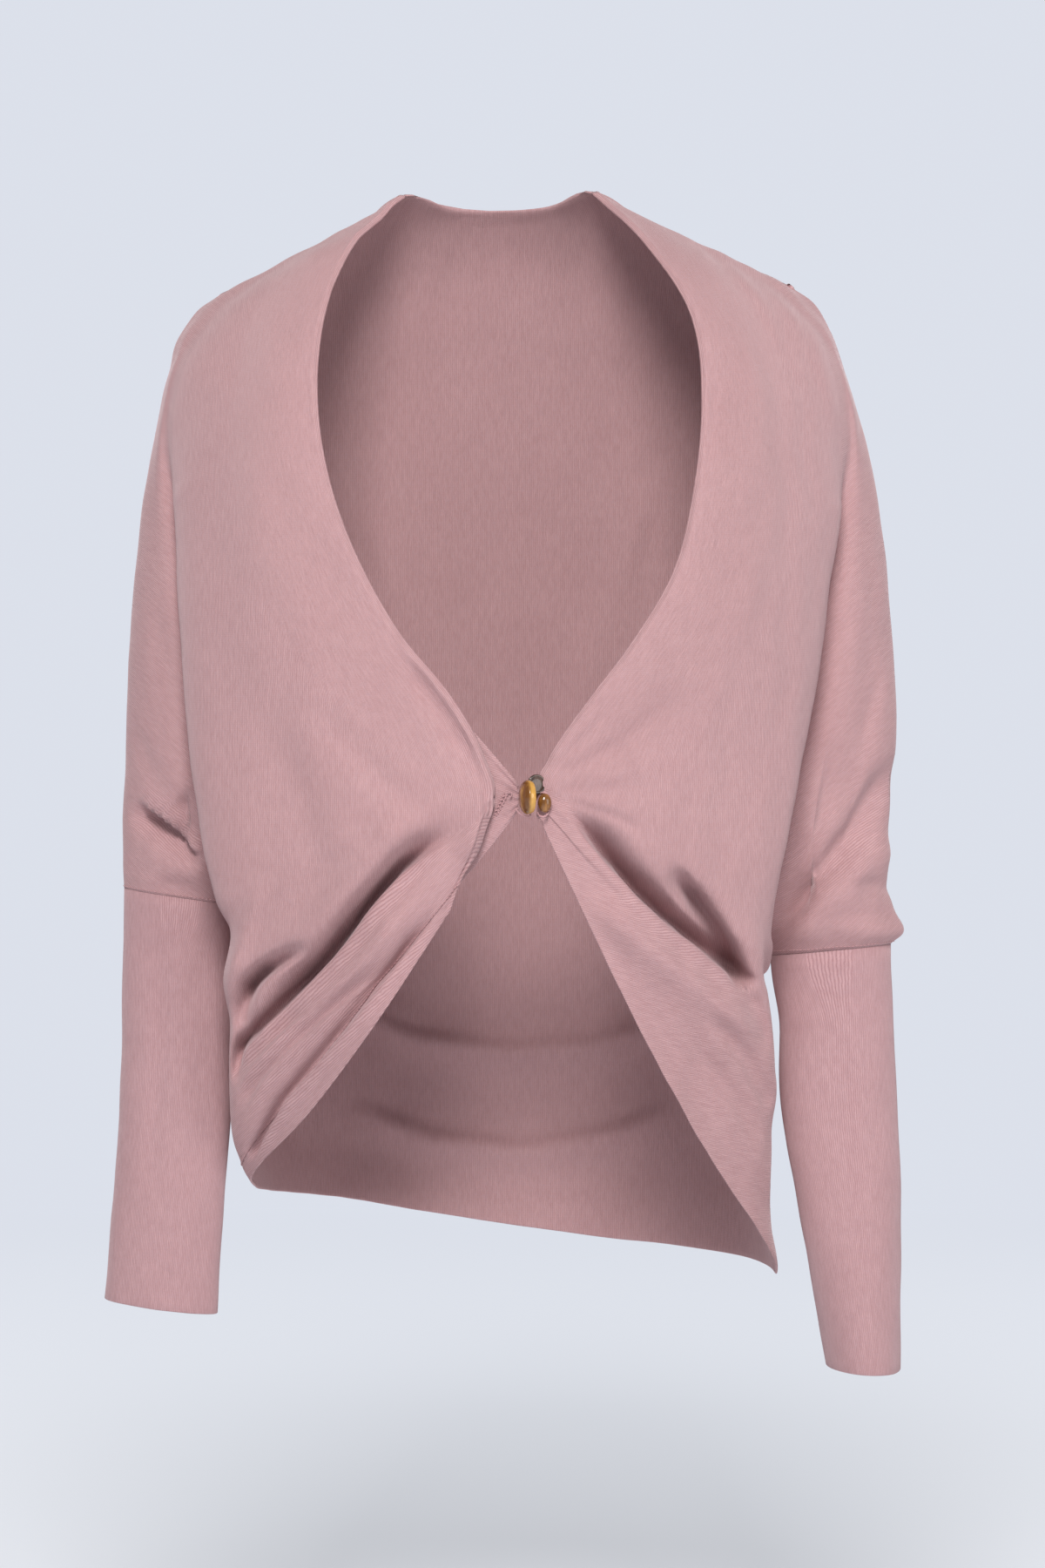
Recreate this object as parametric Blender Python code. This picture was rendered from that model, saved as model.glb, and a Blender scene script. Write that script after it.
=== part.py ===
"""A dusty pink jersey cocoon cardigan, hollow as it is worn, held at the waist by linked buttons.

The cloth is one surface made of hoops. A hoop starts at a front edge, crosses the panel to the ridge
where it drops into the sleeve, goes over the arm, and comes round the back to the spine. Below the
elbow the sleeve leaves the hoop, and the hoops fan out from the button to the side and the hem.
Lengths in the tables are millimetres. +X is the wearer's left, -Y is the front, and Z is up.
"""

import math
from collections import namedtuple

import bpy
import numpy as np

MM = 0.001

# Driving sizes, in millimetres
WALL = 1.6
SEAM_GAP = 0.4
NAPE_ROUND = 11
NAPE_DIP = 0.25
ROW_CROWDING = 0.5
CORNER_EASE = 2.5
SAME_WAY_LIMIT = 3.0
NORMAL_ROUNDS = 3
SHARP_ANGLE = math.radians(50)
SLEEVE_RINGS = 13
BUTTON_SIDES = 24

# Where the guide points lie on a chord: across a panel, over the arm and under it
PANEL_SHARES = (0, 1 / 3, 2 / 3, 1)
OVER_ARM_SHARES = (0, 0.28, 0.66, 1)
UNDER_ARM_SHARES = (0.34, 0.72)

# How far below the elbow seam a lower sleeve takes its own round shape
SEAT_START = 10
SEAT_LENGTH = 50

# What is left of a fold's depth at its very ends
FOLD_END_SHARE = 0.04

# Spans of columns between the guide points of a hoop
PANEL_SPANS = (3, 3, 3)
FOLD_SPANS = (2,)
SLEEVE_SPANS = (3, 1, 3)
NAPE_SPANS = (2, 2)
RIDGE = sum(PANEL_SPANS)
VALLEY = RIDGE + sum(FOLD_SPANS)
ARM = VALLEY + sum(SLEEVE_SPANS)
BACK_VALLEY = ARM + sum(SLEEVE_SPANS)
BACK_RIDGE = BACK_VALLEY + sum(FOLD_SPANS)
NECK = BACK_RIDGE + sum(PANEL_SPANS)
SPINE = NECK + sum(NAPE_SPANS)

# Rows of hoops: 0 is the shoulder, 1 the elbow and the button, 2 the hem
UPPER_ROWS = 22
LOWER_ROWS = 20
BAND_ROWS = 2
BAND_AT = 1.9
ELBOW_ROW = UPPER_ROWS
BAND_ROW = ELBOW_ROW + LOWER_ROWS
HEM_ROW = BAND_ROW + BAND_ROWS

# One row for each section of a front: where the edge, ridge, valley and over-arm line pass,
# and how far the panel bows out and up and the sleeve bows out between them
Front = namedtuple("Front", "down edge ridge valley arm out up sleeve")
RIGHT_FRONT = (
    Front(0.00, (-61, 10, 17), (-136, 9, -30), (-154, 9, -37), (-170, 8, -44), 0, -5, 0),
    Front(0.03, (-67, 0, 9), (-149, -7, -36), (-167, -3, -45), (-185, 7, -56), 3, -1, 1),
    Front(0.06, (-74, -9, 0), (-163, -15, -50), (-180, -10, -60), (-195, 6, -70), 7, 1, 3),
    Front(0.12, (-86, -30, -15), (-180, -24, -74), (-191, -15, -82), (-201, 5, -92), 13, 4, 5),
    Front(0.25, (-104, -69, -65), (-195, -33, -127), (-201, -22, -132), (-211, 3, -139), 19, 2, 6),
    Front(0.38, (-107, -92, -117), (-194, -40, -172), (-194, -24, -173), (-218, 1, -183), 24, 0, 9),
    Front(0.50, (-100, -106, -162), (-191, -48, -211), (-184, -28, -212), (-222, 0, -229), 26, 0, 15),
    Front(0.62, (-85, -116, -205), (-188, -57, -255), (-178, -32, -256), (-225, -1, -270), 26, 0, 17),
    Front(0.75, (-60, -122, -251), (-184, -64, -303), (-174, -32, -305), (-226, -2, -317), 24, 0, 17),
    Front(0.88, (-29, -124, -290), (-177, -70, -356), (-168, -27, -359), (-228, -3, -360), 22, 0, 17),
    Front(0.95, (-15, -124, -313), (-172, -72, -383), (-163, -19, -390), (-228, -3, -384), 22, 0, 18),
    Front(1.00, (-8, -123, -330), (-167, -72, -402), (-160, -2, -410), (-227, -3, -400), 22, 0, 20),
    Front(1.10, (-6, -123, -335), (-158, -70, -424), (-149, -2, -427), None, 22, 0, 0),
    Front(1.20, (-5, -123, -340), (-163, -62, -453), (-151, 0, -449), None, 23, 0, 0),
    Front(1.30, (-5, -123, -344), (-160, -56, -476), (-155, 2, -470), None, 24, 0, 0),
    Front(1.45, (-5, -122, -349), (-161, -50, -503), (-156, 5, -499), None, 25, 0, 0),
    Front(1.60, (-8, -122, -358), (-161, -42, -522), (-157, 8, -523), None, 26, 0, 0),
    Front(1.75, (-13, -121, -372), (-160, -32, -543), (-158, 11, -547), None, 28, 2, 0),
    Front(1.90, (-24, -119, -393), (-156, -16, -564), (-155, 15, -568), None, 31, 2, 0),
    Front(2.00, (-29, -116, -407), (-152, -4, -574), (-151, 19, -580), None, 34, -7, 0),
)
LEFT_FRONT = (
    Front(0.00, (53, 10, 19), (136, 9, -26), (154, 9, -32), (170, 8, -39), 0, -3, 0),
    Front(0.03, (61, -3, 9), (149, -7, -32), (167, -3, -41), (185, 7, -51), 3, 0, 1),
    Front(0.06, (69, -18, -1), (164, -15, -47), (181, -10, -57), (195, 6, -68), 7, 1, 3),
    Front(0.12, (84, -42, -22), (183, -24, -71), (194, -15, -81), (204, 5, -95), 13, 4, 5),
    Front(0.25, (109, -76, -70), (198, -33, -127), (204, -22, -131), (218, 3, -143), 19, 2, 6),
    Front(0.38, (113, -95, -121), (197, -40, -178), (197, -26, -180), (226, 1, -192), 24, 0, 9),
    Front(0.50, (108, -108, -168), (190, -50, -218), (188, -31, -221), (230, 0, -238), 26, 0, 15),
    Front(0.62, (97, -117, -214), (184, -57, -265), (181, -32, -268), (233, -1, -286), 26, 0, 17),
    Front(0.75, (74, -121, -255), (175, -64, -311), (172, -31, -315), (232, -3, -336), 24, 0, 18),
    Front(0.88, (42, -121, -298), (165, -70, -361), (163, -27, -367), (227, -4, -385), 22, 0, 18),
    Front(0.95, (28, -121, -318), (158, -72, -392), (159, -20, -402), (231, -5, -411), 22, 0, 20),
    Front(0.98, (23, -120, -327), (154, -73, -408), (158, -12, -425), (237, -5, -426), 22, 0, 22),
    Front(1.00, (20, -120, -332), (152, -73, -418), (158, -3, -440), (230, -5, -433), 22, 0, 18),
    Front(1.10, (19, -120, -335), (150, -70, -445), (147, -2, -456), None, 22, 0, 0),
    Front(1.20, (19, -120, -337), (152, -64, -459), (146, 0, -470), None, 22, 0, 0),
    Front(1.35, (18, -120, -340), (155, -56, -476), (147, 3, -486), None, 23, 0, 0),
    Front(1.50, (18, -119, -344), (157, -50, -493), (149, 6, -502), None, 24, 0, 0),
    Front(1.60, (18, -119, -347), (158, -46, -504), (150, 8, -515), None, 25, 0, 0),
    Front(1.70, (19, -118, -349), (159, -40, -519), (151, 10, -533), None, 26, 0, 0),
    Front(1.80, (19, -118, -352), (157, -30, -544), (153, 12, -557), None, 28, 0, 0),
    Front(1.90, (19, -118, -354), (157, -16, -586), (158, 15, -599), None, 32, -4, 0),
    Front(2.00, (20, -118, -357), (162, -2, -623), (164, 19, -632), None, 36, -12, 0),
)

# The same for the back, from the sleeve's valley to the line below the side of the neck
Back = namedtuple("Back", "down valley ridge neck out")
RIGHT_BACK = (
    Back(0.00, (-154, 9, -37), (-136, 9, -30), (-61, 10, 17), 0),
    Back(0.03, (-167, 19, -45), (-148, 23, -34), (-62, 25, 10), 3),
    Back(0.06, (-179, 25, -59), (-161, 33, -46), (-64, 36, 2), 7),
    Back(0.12, (-190, 29, -81), (-176, 43, -68), (-66, 56, -20), 9),
    Back(0.25, (-201, 30, -132), (-190, 56, -124), (-72, 79, -72), 8),
    Back(0.50, (-193, 36, -214), (-182, 72, -206), (-78, 98, -178), 8),
    Back(0.75, (-179, 38, -308), (-172, 84, -300), (-80, 105, -280), 8),
    Back(0.88, (-171, 29, -360), (-166, 87, -350), (-79, 108, -336), 8),
    Back(0.95, (-164, 18, -390), (-162, 87, -374), (-77, 110, -362), 8),
    Back(1.00, (-160, -2, -410), (-159, 86, -394), (-76, 112, -384), 8),
    Back(1.20, (-151, 0, -449), (-152, 84, -446), (-73, 119, -442), 8),
    Back(1.45, (-156, 5, -499), (-153, 86, -498), (-72, 127, -502), 9),
    Back(1.75, (-158, 11, -547), (-148, 85, -552), (-71, 127, -566), 10),
    Back(2.00, (-151, 19, -580), (-136, 78, -590), (-67, 117, -604), 10),
)
LEFT_BACK = (
    Back(0.00, (154, 9, -32), (136, 9, -26), (53, 10, 19), 0),
    Back(0.03, (167, 19, -41), (148, 23, -30), (55, 25, 12), 3),
    Back(0.06, (180, 25, -56), (161, 33, -43), (57, 36, 4), 7),
    Back(0.12, (193, 29, -80), (179, 43, -68), (60, 56, -18), 9),
    Back(0.25, (204, 30, -131), (193, 56, -124), (68, 79, -70), 8),
    Back(0.50, (189, 38, -221), (184, 72, -214), (76, 98, -182), 8),
    Back(0.75, (174, 37, -315), (172, 84, -310), (79, 105, -286), 8),
    Back(0.88, (165, 28, -367), (163, 87, -360), (78, 108, -342), 8),
    Back(0.95, (160, 17, -402), (157, 87, -386), (77, 110, -368), 8),
    Back(1.00, (158, -3, -440), (153, 86, -412), (76, 112, -390), 8),
    Back(1.20, (146, 0, -470), (147, 84, -462), (73, 119, -450), 8),
    Back(1.50, (149, 6, -502), (149, 86, -510), (72, 127, -518), 9),
    Back(1.80, (153, 12, -557), (148, 85, -568), (71, 126, -582), 10),
    Back(2.00, (164, 19, -632), (148, 80, -630), (69, 118, -624), 10),
)

# The middle of the back
Spine = namedtuple("Spine", "down y z")
SPINE_LINE = (
    Spine(0.00, 50, 12),
    Spine(0.06, 59, 3),
    Spine(0.12, 69, -12),
    Spine(0.25, 84, -60),
    Spine(0.50, 99, -166),
    Spine(0.75, 105, -270),
    Spine(1.00, 112, -380),
    Spine(1.30, 125, -464),
    Spine(1.60, 132, -536),
    Spine(1.80, 129, -580),
    Spine(2.00, 121, -615),
)

# Rings of the lower sleeves, from just below the elbow seam to the cuff
Ring = namedtuple("Ring", "z x y half_width half_depth")
RIGHT_SLEEVE = (
    Ring(-412, -196, -2, 32, 18.5),
    Ring(-470, -195, -2, 33.5, 18.5),
    Ring(-540, -197, -3, 33.5, 18.5),
    Ring(-590, -201, -3, 33, 19),
    Ring(-648, -205, -4, 33.5, 18.5),
)
LEFT_SLEEVE = (
    Ring(-446, 197, -4, 33, 18),
    Ring(-530, 199, -5, 34.5, 17.5),
    Ring(-590, 205, -6, 30.5, 23),
    Ring(-640, 209, -7, 26, 28),
    Ring(-684, 213, -8, 22, 31),
)
RIGHT_CUFF_TILT = -4.5
LEFT_CUFF_TILT = -1.0

# Folds that the weight of the cloth makes: a path in the front view, the depth of the trough
# (negative for a ridge), how wide its upper and lower flanks are, and how far its ends fade
Fold = namedtuple("Fold", "area depth above below fade path")
FOLDS = (
    Fold("right panel", 12, 9, 11, 40,
         ((-19, -361), (-47, -375), (-64, -394), (-81, -413), (-95, -433), (-112, -450), (-138, -475))),
    Fold("right panel", -6, 13, 9, 40,
         ((-30, -350), (-62, -372), (-84, -396), (-104, -420), (-128, -446), (-150, -462))),
    Fold("right panel", 4, 9, 9, 30,
         ((-77, -445), (-113, -475), (-143, -505), (-153, -523))),
    Fold("right panel", -4, 9, 9, 20,
         ((-16, -312), (-12, -328), (-11, -341), (-12, -351), (-19, -372), (-27, -387))),
    Fold("right panel", 3, 10, 8, 30,
         ((-66, -256), (-38, -292), (-26, -315), (-20, -335))),
    Fold("left panel", 13, 11, 8, 40,
         ((31, -349), (57, -368), (76, -392), (91, -408), (105, -421), (125, -443), (142, -462))),
    Fold("left panel", -5, 8, 8, 25,
         ((79, -405), (95, -418), (110, -431), (132, -450), (150, -468))),
    Fold("left panel", 10, 6, 7, 25,
         ((97, -385), (110, -402), (124, -420), (135, -440), (143, -455))),
    Fold("left panel", 5, 9, 10, 40,
         ((31, -360), (61, -396), (79, -418), (100, -438), (120, -456), (136, -474), (150, -497))),
    Fold("left panel", 3, 14, 14, 30,
         ((32, -330), (61, -319), (80, -304), (106, -272))),
    Fold("left sleeve", 7, 10, 10, 30,
         ((216, -312), (203, -365), (187, -392), (173, -408), (160, -425))),
    Fold("right sleeve", 4, 8, 8, 15,
         ((-220, -352), (-207, -361), (-194, -370), (-183, -381))),
    Fold("back", 5, 14, 14, 60,
         ((-120, -470), (-60, -500), (0, -508), (60, -504), (120, -484))),
    Fold("back", 4, 12, 12, 50,
         ((-110, -540), (-50, -566), (10, -574), (70, -562), (115, -540))),
    Fold("back", 5, 16, 16, 60,
         ((-182, -240), (-150, -330), (-120, -390), (-80, -430))),
    Fold("back", 5, 16, 16, 60,
         ((184, -250), (150, -340), (118, -402), (76, -444))),
)

# The under-tab with the buttonhole: its left end lies hidden below the right front's edge
Tab = namedtuple("Tab", "share left right")
TAB = (
    Tab(0.0, (-33, -120.4, -291), (7.0, -118.4, -337)),
    Tab(0.2, (-25, -120.2, -309), (7.5, -118.4, -340.5)),
    Tab(0.4, (-18, -119.8, -331), (7.8, -118.4, -344)),
    Tab(0.6, (-17, -119.3, -352), (7.8, -118.4, -347.5)),
    Tab(0.8, (-24, -117.8, -376), (7.5, -118.4, -351)),
    Tab(1.0, (-33, -113.2, -402), (7.0, -118.4, -354)),
)
TAB_COLUMNS = 8
TAB_ROWS = 10

# Buttons: centre, the way the axis points, radius, thickness, and how much narrower than tall
Button = namedtuple("Button", "name centre axis radius thickness narrow")
BUTTONS = (
    Button("button_amber", (12.9, -127.2, -345.4), (0.906, -0.42, 0.0), 9.6, 8.4, 1.0),
    Button("button_brown", (22.9, -122.4, -348.6), (0.25, -0.97, 0.0), 5.4, 6.2, 0.72),
    Button("button_back", (16.5, -112.9, -341.0), (0.0, -1.0, 0.0), 7.5, 4.0, 1.0),
)
# The button's rim, as shares of its radius and thickness from one face to the other
BUTTON_PROFILE = ((0.45, 0.47), (0.78, 0.36), (0.95, 0.2), (1.0, 0.0),
                  (0.95, -0.2), (0.78, -0.36), (0.45, -0.47))
THREAD_RADIUS = 0.8
THREAD_PATH = ((3.0, -115.3, -345.0), (9.0, -115.6, -345.2), (14.0, -116.0, -345.4), (20.0, -116.1, -345.2),
               (26.0, -116.0, -345.0))


def clear_scene():
    for obj in list(bpy.data.objects):
        bpy.data.objects.remove(obj)


def principled(name, colour, roughness, metallic=0.0):
    """A plain Principled material."""
    material = bpy.data.materials.new(name)
    material.use_nodes = True
    shader = material.node_tree.nodes["Principled BSDF"]
    shader.inputs["Base Color"].default_value = (*colour, 1.0)
    shader.inputs["Roughness"].default_value = roughness
    shader.inputs["Metallic"].default_value = metallic
    return material


def smooth(knots, values, at):
    """A smooth curve through the values, read at the given places along the knots, with no overshoot."""
    knots = np.asarray(knots, float)
    values = np.asarray(values, float)
    steps = np.diff(knots)
    slopes = np.diff(values, axis=0) / steps[:, None]
    tangents = np.empty_like(values)
    tangents[0] = slopes[0]
    tangents[-1] = slopes[-1]
    before = steps[:-1, None]
    after = steps[1:, None]
    tangents[1:-1] = (slopes[:-1] * after + slopes[1:] * before) / (before + after)
    gentler = np.minimum(abs(slopes[:-1]), abs(slopes[1:]))
    limit = gentler * np.where(slopes[:-1] * slopes[1:] > 0, SAME_WAY_LIMIT, 1.0)
    tangents[1:-1] = np.clip(tangents[1:-1], -limit, limit)
    at = np.clip(np.asarray(at, float), knots[0], knots[-1])
    span = np.clip(np.searchsorted(knots, at, side="right") - 1, 0, len(steps) - 1)
    size = steps[span][:, None]
    t = (at - knots[span])[:, None] / size
    start = (1 + 2 * t) * (1 - t) ** 2 * values[span] + t * (1 - t) ** 2 * size * tangents[span]
    end = t * t * (3 - 2 * t) * values[span + 1] + t * t * (t - 1) * size * tangents[span + 1]
    return start + end


def bowed(start, end, share, bow):
    """A point on the chord from start to end, pushed off it by a parabola of height bow."""
    return start + (end - start) * share + 4 * share * (1 - share) * bow


def across(controls, spans, ghost):
    """Points on a smooth curve through the controls, with the wanted number of columns in each span."""
    points = np.array([*controls, ghost])
    knots = np.concatenate([[0.0], np.cumsum(np.linalg.norm(np.diff(points, axis=0), axis=1) + 1e-6)])
    at = [knots[0]]
    for i, count in enumerate(spans):
        at.extend(np.linspace(knots[i], knots[i + 1], count + 1)[1:])
    return smooth(knots, points, at)


def nape_point(neck, spine, row):
    """The point between the side of the neck and the spine, rounder at the nape's edge than below it."""
    roundness = NAPE_ROUND / (1 + row)
    return bowed(neck, spine, 0.5, np.array([0.0, roundness, -roundness * NAPE_DIP]))


def row_places():
    """How far down each row of hoops is, closer together towards the shoulder and the elbow."""
    even = np.linspace(0, 1, UPPER_ROWS + 1)
    upper = even - ROW_CROWDING * np.sin(2 * math.pi * even) / (2 * math.pi)
    lower = np.linspace(1, BAND_AT, LOWER_ROWS + 1)[1:]
    band = np.linspace(BAND_AT, 2, BAND_ROWS + 1)[1:]
    return np.concatenate([upper, lower, band])


def guide(table, field, at):
    """One guide line of a table, smoothed and read at every row."""
    rows = [row for row in table if getattr(row, field) is not None]
    values = [np.atleast_1d(getattr(row, field)) for row in rows]
    return smooth([row.down for row in rows], values, at)


def half_hoops(front_table, back_table, other_back):
    """Every hoop of one half, as an array of rows by columns by x, y, z."""
    at = row_places()
    front = {name: guide(front_table, name, at) for name in Front._fields[1:]}
    back = {name: guide(back_table, name, at) for name in Back._fields[1:]}
    other_neck = guide(other_back, "neck", at)
    spine = smooth([row.down for row in SPINE_LINE], [(0, row.y, row.z) for row in SPINE_LINE], at)
    hoops = np.full((len(at), SPINE + 1, 3), np.nan)
    for i in range(len(at)):
        bow = np.array([0.0, -front["out"][i, 0], front["up"][i, 0]])
        panel = [bowed(front["edge"][i], front["ridge"][i], share, bow) for share in PANEL_SHARES]
        back_bow = np.array([0.0, back["out"][i, 0], 0.0])
        if i == 0:
            back_bow = bow
        back_panel = [bowed(back["ridge"][i], back["neck"][i], share, back_bow) for share in PANEL_SHARES]
        nape = nape_point(back["neck"][i], spine[i], i)
        ghost = nape_point(other_neck[i], spine[i], i)
        if i <= ELBOW_ROW:
            lift = np.array([0.0, -front["sleeve"][i, 0], 0.0])
            over = [bowed(front["valley"][i], front["arm"][i], share, lift) for share in OVER_ARM_SHARES]
            under = [bowed(front["arm"][i], back["valley"][i], share, -lift) for share in UNDER_ARM_SHARES]
            controls = panel + over + under + [back["valley"][i]] + back_panel + [nape, spine[i]]
            spans = PANEL_SPANS + FOLD_SPANS + SLEEVE_SPANS * 2 + FOLD_SPANS + PANEL_SPANS + NAPE_SPANS
            hoops[i] = across(controls, spans, ghost)
        else:
            controls = panel + [front["valley"][i]] + back_panel + [nape, spine[i]]
            spans = PANEL_SPANS + FOLD_SPANS * 2 + PANEL_SPANS + NAPE_SPANS
            line = across(controls, spans, ghost)
            hoops[i, :VALLEY + 1] = line[:VALLEY + 1]
            hoops[i, BACK_VALLEY:] = line[VALLEY:]
    edge = [back["neck"][0], nape_point(back["neck"][0], spine[0], 0), spine[0]]
    hoops[0, NECK:] = across(edge, NAPE_SPANS, nape_point(other_neck[0], spine[0], 0))
    return hoops


def sleeve_rings(table, top, outward, tilt):
    """Rings of a lower sleeve below its top ring, which blend from the elbow's shape to the cuff's."""
    zs = [-ring.z for ring in table]
    heights = np.linspace(zs[0], zs[-1], SLEEVE_RINGS)
    sizes = smooth(zs, [ring[1:] for ring in table], heights)
    stations = len(top)
    angle = 2 * math.pi * np.arange(stations) / stations
    rings = []
    for height, (x, y, wide, deep) in zip(heights, sizes):
        share = (height - zs[0]) / (zs[-1] - zs[0])
        ring = np.empty((stations, 3))
        ring[:, 0] = x - outward * wide * np.cos(angle)
        ring[:, 1] = y - deep * np.sin(angle)
        ring[:, 2] = -height - share * tilt * np.cos(angle) * outward
        fade = min(1.0, (height - zs[0] + SEAT_START) / SEAT_LENGTH)
        seat = top + (0.0, 0.0, -height - top[:, 2].mean())
        rings.append(seat + (ring - seat) * fade * fade * (3 - 2 * fade))
    return rings


class Cloth:
    """One welded surface. Pieces are lists of its quads, so that neighbours share points and normals."""

    def __init__(self):
        self.places = []
        self.index = {}
        self.areas = {}
        self.quads = {}

    def add(self, key, place, area):
        if key not in self.index:
            self.index[key] = len(self.places)
            self.places.append(place)
        self.areas.setdefault(area, set()).add(self.index[key])

    def quad(self, piece, keys, turn):
        corners = [self.index[key] for key in keys]
        self.quads.setdefault(piece, []).append(corners[::-1] if turn else corners)


def hoop_key(side, row, column):
    """The name of a point, the same for both pieces that meet there."""
    if row == 0 and ARM < column <= NECK:
        column = NECK - column
    if row >= ELBOW_ROW and column == BACK_VALLEY:
        column = VALLEY
    if column == SPINE:
        side = "middle"
    return side, row, column


def area_of(side, column):
    if column <= VALLEY:
        return side + " panel"
    if column < BACK_VALLEY:
        return side + " sleeve"
    return "back"


def add_half(cloth, side, hoops, rings):
    """Adds one half's points and quads: front, hem band, back and lower sleeve."""
    turn = side == "left"
    for row in range(HEM_ROW + 1):
        for column in range(SPINE + 1):
            if not np.isnan(hoops[row, column, 0]):
                cloth.add(hoop_key(side, row, column), hoops[row, column], area_of(side, column))
    for row in range(HEM_ROW):
        for column in range(SPINE):
            if row >= ELBOW_ROW and VALLEY <= column < BACK_VALLEY:
                continue
            piece = "back" if column >= ARM else side + "_front"
            if side == "right" and row >= BAND_ROW and column < VALLEY:
                piece = "hem_band"
            corners = ((row, column), (row, column + 1), (row + 1, column + 1), (row + 1, column))
            cloth.quad(piece, [hoop_key(side, *corner) for corner in corners], turn)
    stations = BACK_VALLEY - VALLEY
    for number, ring in enumerate(rings):
        for station in range(stations):
            cloth.add((side, "ring", number, station), ring[station], "sleeves")

    def sleeve_key(number, station):
        station %= stations
        if number < 0:
            return hoop_key(side, ELBOW_ROW, VALLEY + station)
        return side, "ring", number, station

    for number in range(-1, len(rings) - 1):
        for station in range(stations):
            below = number + 1
            corners = ((number, station), (number, station + 1), (below, station + 1), (below, station))
            cloth.quad(side + "_lower_sleeve", [sleeve_key(*corner) for corner in corners], turn)


def normals_of(places, quads):
    """The mean normal of the quads that meet at each point."""
    total = np.zeros_like(places)
    corners = places[quads]
    facing = np.cross(corners[:, 2] - corners[:, 0], corners[:, 3] - corners[:, 1])
    for i in range(4):
        np.add.at(total, quads[:, i], facing)
    return total / np.maximum(np.linalg.norm(total, axis=1), 1e-12)[:, None]


def softened(facing, quads, rounds):
    """Normals averaged with their neighbours', so that a wall laid along them stays open in a tight fold."""
    for _ in range(rounds):
        total = facing.copy()
        for i in range(4):
            beside = facing[quads[:, (i + 1) % 4]] + facing[quads[:, (i + 3) % 4]]
            np.add.at(total, quads[:, i], beside)
        facing = total / np.maximum(np.linalg.norm(total, axis=1), 1e-12)[:, None]
    return facing


def fold_push(points, fold):
    """How deep a fold presses each point: full on its path, fading over its flanks and its ends."""
    path = np.array(fold.path, float)
    lengths = np.linalg.norm(np.diff(path, axis=0), axis=1)
    starts = np.concatenate([[0.0], np.cumsum(lengths)])
    nearest = np.full(len(points), np.inf)
    flank = np.ones(len(points))
    along = np.zeros(len(points))
    for i, length in enumerate(lengths):
        heading = (path[i + 1] - path[i]) / length
        offset = points - path[i]
        travel = offset @ heading
        if i > 0:
            travel = np.maximum(travel, 0)
        if i < len(lengths) - 1:
            travel = np.minimum(travel, length)
        aside = offset - np.clip(travel, 0, length)[:, None] * heading
        apart = np.linalg.norm(aside, axis=1)
        closer = apart < nearest
        nearest = np.where(closer, apart, nearest)
        flank = np.where(closer, aside[:, 1], flank)
        along = np.where(closer, starts[i] + np.clip(travel, 0, length), along)
    width = np.where(flank > 0, fold.above, fold.below)
    ends = np.minimum(along, starts[-1] - along) / fold.fade
    fading = FOLD_END_SHARE + (1 - FOLD_END_SHARE) * np.clip(ends, 0, 1)
    return fold.depth * np.exp(-((nearest / width) ** 2)) * fading


def press_folds(cloth, places, quads):
    """Moves the points of each fold's area in or out along their normals."""
    facing = normals_of(places, quads)
    push = np.zeros(len(places))
    for fold in FOLDS:
        chosen = np.array(sorted(cloth.areas[fold.area]))
        push[chosen] += fold_push(places[chosen][:, [0, 2]], fold)
    return places - facing * push[:, None]


def seam_shift(piece, quads, places, facing, shared):
    """Each seam point of a piece, drawn back from the seam by half the gap."""
    own = np.array(quads[piece])
    edges = np.concatenate([own[:, [i, (i + 1) % 4]] for i in range(4)])
    pairs = {tuple(edge) for edge in edges}
    rim = [edge for edge in pairs if edge[::-1] not in pairs]
    tangent = {}
    for a, b in rim:
        heading = places[b] - places[a]
        heading = heading / max(np.linalg.norm(heading), 1e-9)
        tangent.setdefault(a, []).append(heading)
        tangent.setdefault(b, []).append(heading)
    middle = places[own].mean(axis=1)
    inward = np.zeros_like(places)
    for i in range(4):
        np.add.at(inward, own[:, i], middle - places[own[:, i]])
    shift = {}
    for point, headings in tangent.items():
        if point not in shared:
            continue
        along = np.mean(headings, axis=0)
        along = along / max(np.linalg.norm(along), 1e-9)
        way = np.cross(facing[point], along)
        if way @ inward[point] < 0:
            way = -way
        size = np.linalg.norm(way)
        ease = CORNER_EASE if len(shared[point]) > 2 else 1.0
        if size > 1e-6:
            shift[point] = way / size * ease * SEAM_GAP / 2
    return rim, shift


def mesh_object(name, points, faces, material):
    mesh = bpy.data.meshes.new(name)
    mesh.from_pydata((np.asarray(points) * MM).tolist(), [], [list(map(int, face)) for face in faces])
    mesh.materials.append(material)
    mesh.shade_smooth()
    mesh.set_sharp_from_angle(angle=SHARP_ANGLE)
    obj = bpy.data.objects.new(name, mesh)
    bpy.context.scene.collection.objects.link(obj)
    return obj


def wall(name, own, places, facing, rim, shift, material):
    """A piece of cloth as a closed wall: its outer face, its inner face and its cut edges."""
    used = sorted({corner for quad in own for corner in quad})
    place = {point: i for i, point in enumerate(used)}
    outer = np.array([places[point] + shift.get(point, 0.0) for point in used])
    inner = outer - WALL * facing[used]
    count = len(used)
    faces = [[place[corner] for corner in quad] for quad in own]
    faces += [[place[corner] + count for corner in reversed(quad)] for quad in own]
    faces += [[place[b], place[a], place[a] + count, place[b] + count] for a, b in rim]
    return mesh_object(name, np.concatenate([outer, inner]), faces, material)


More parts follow.
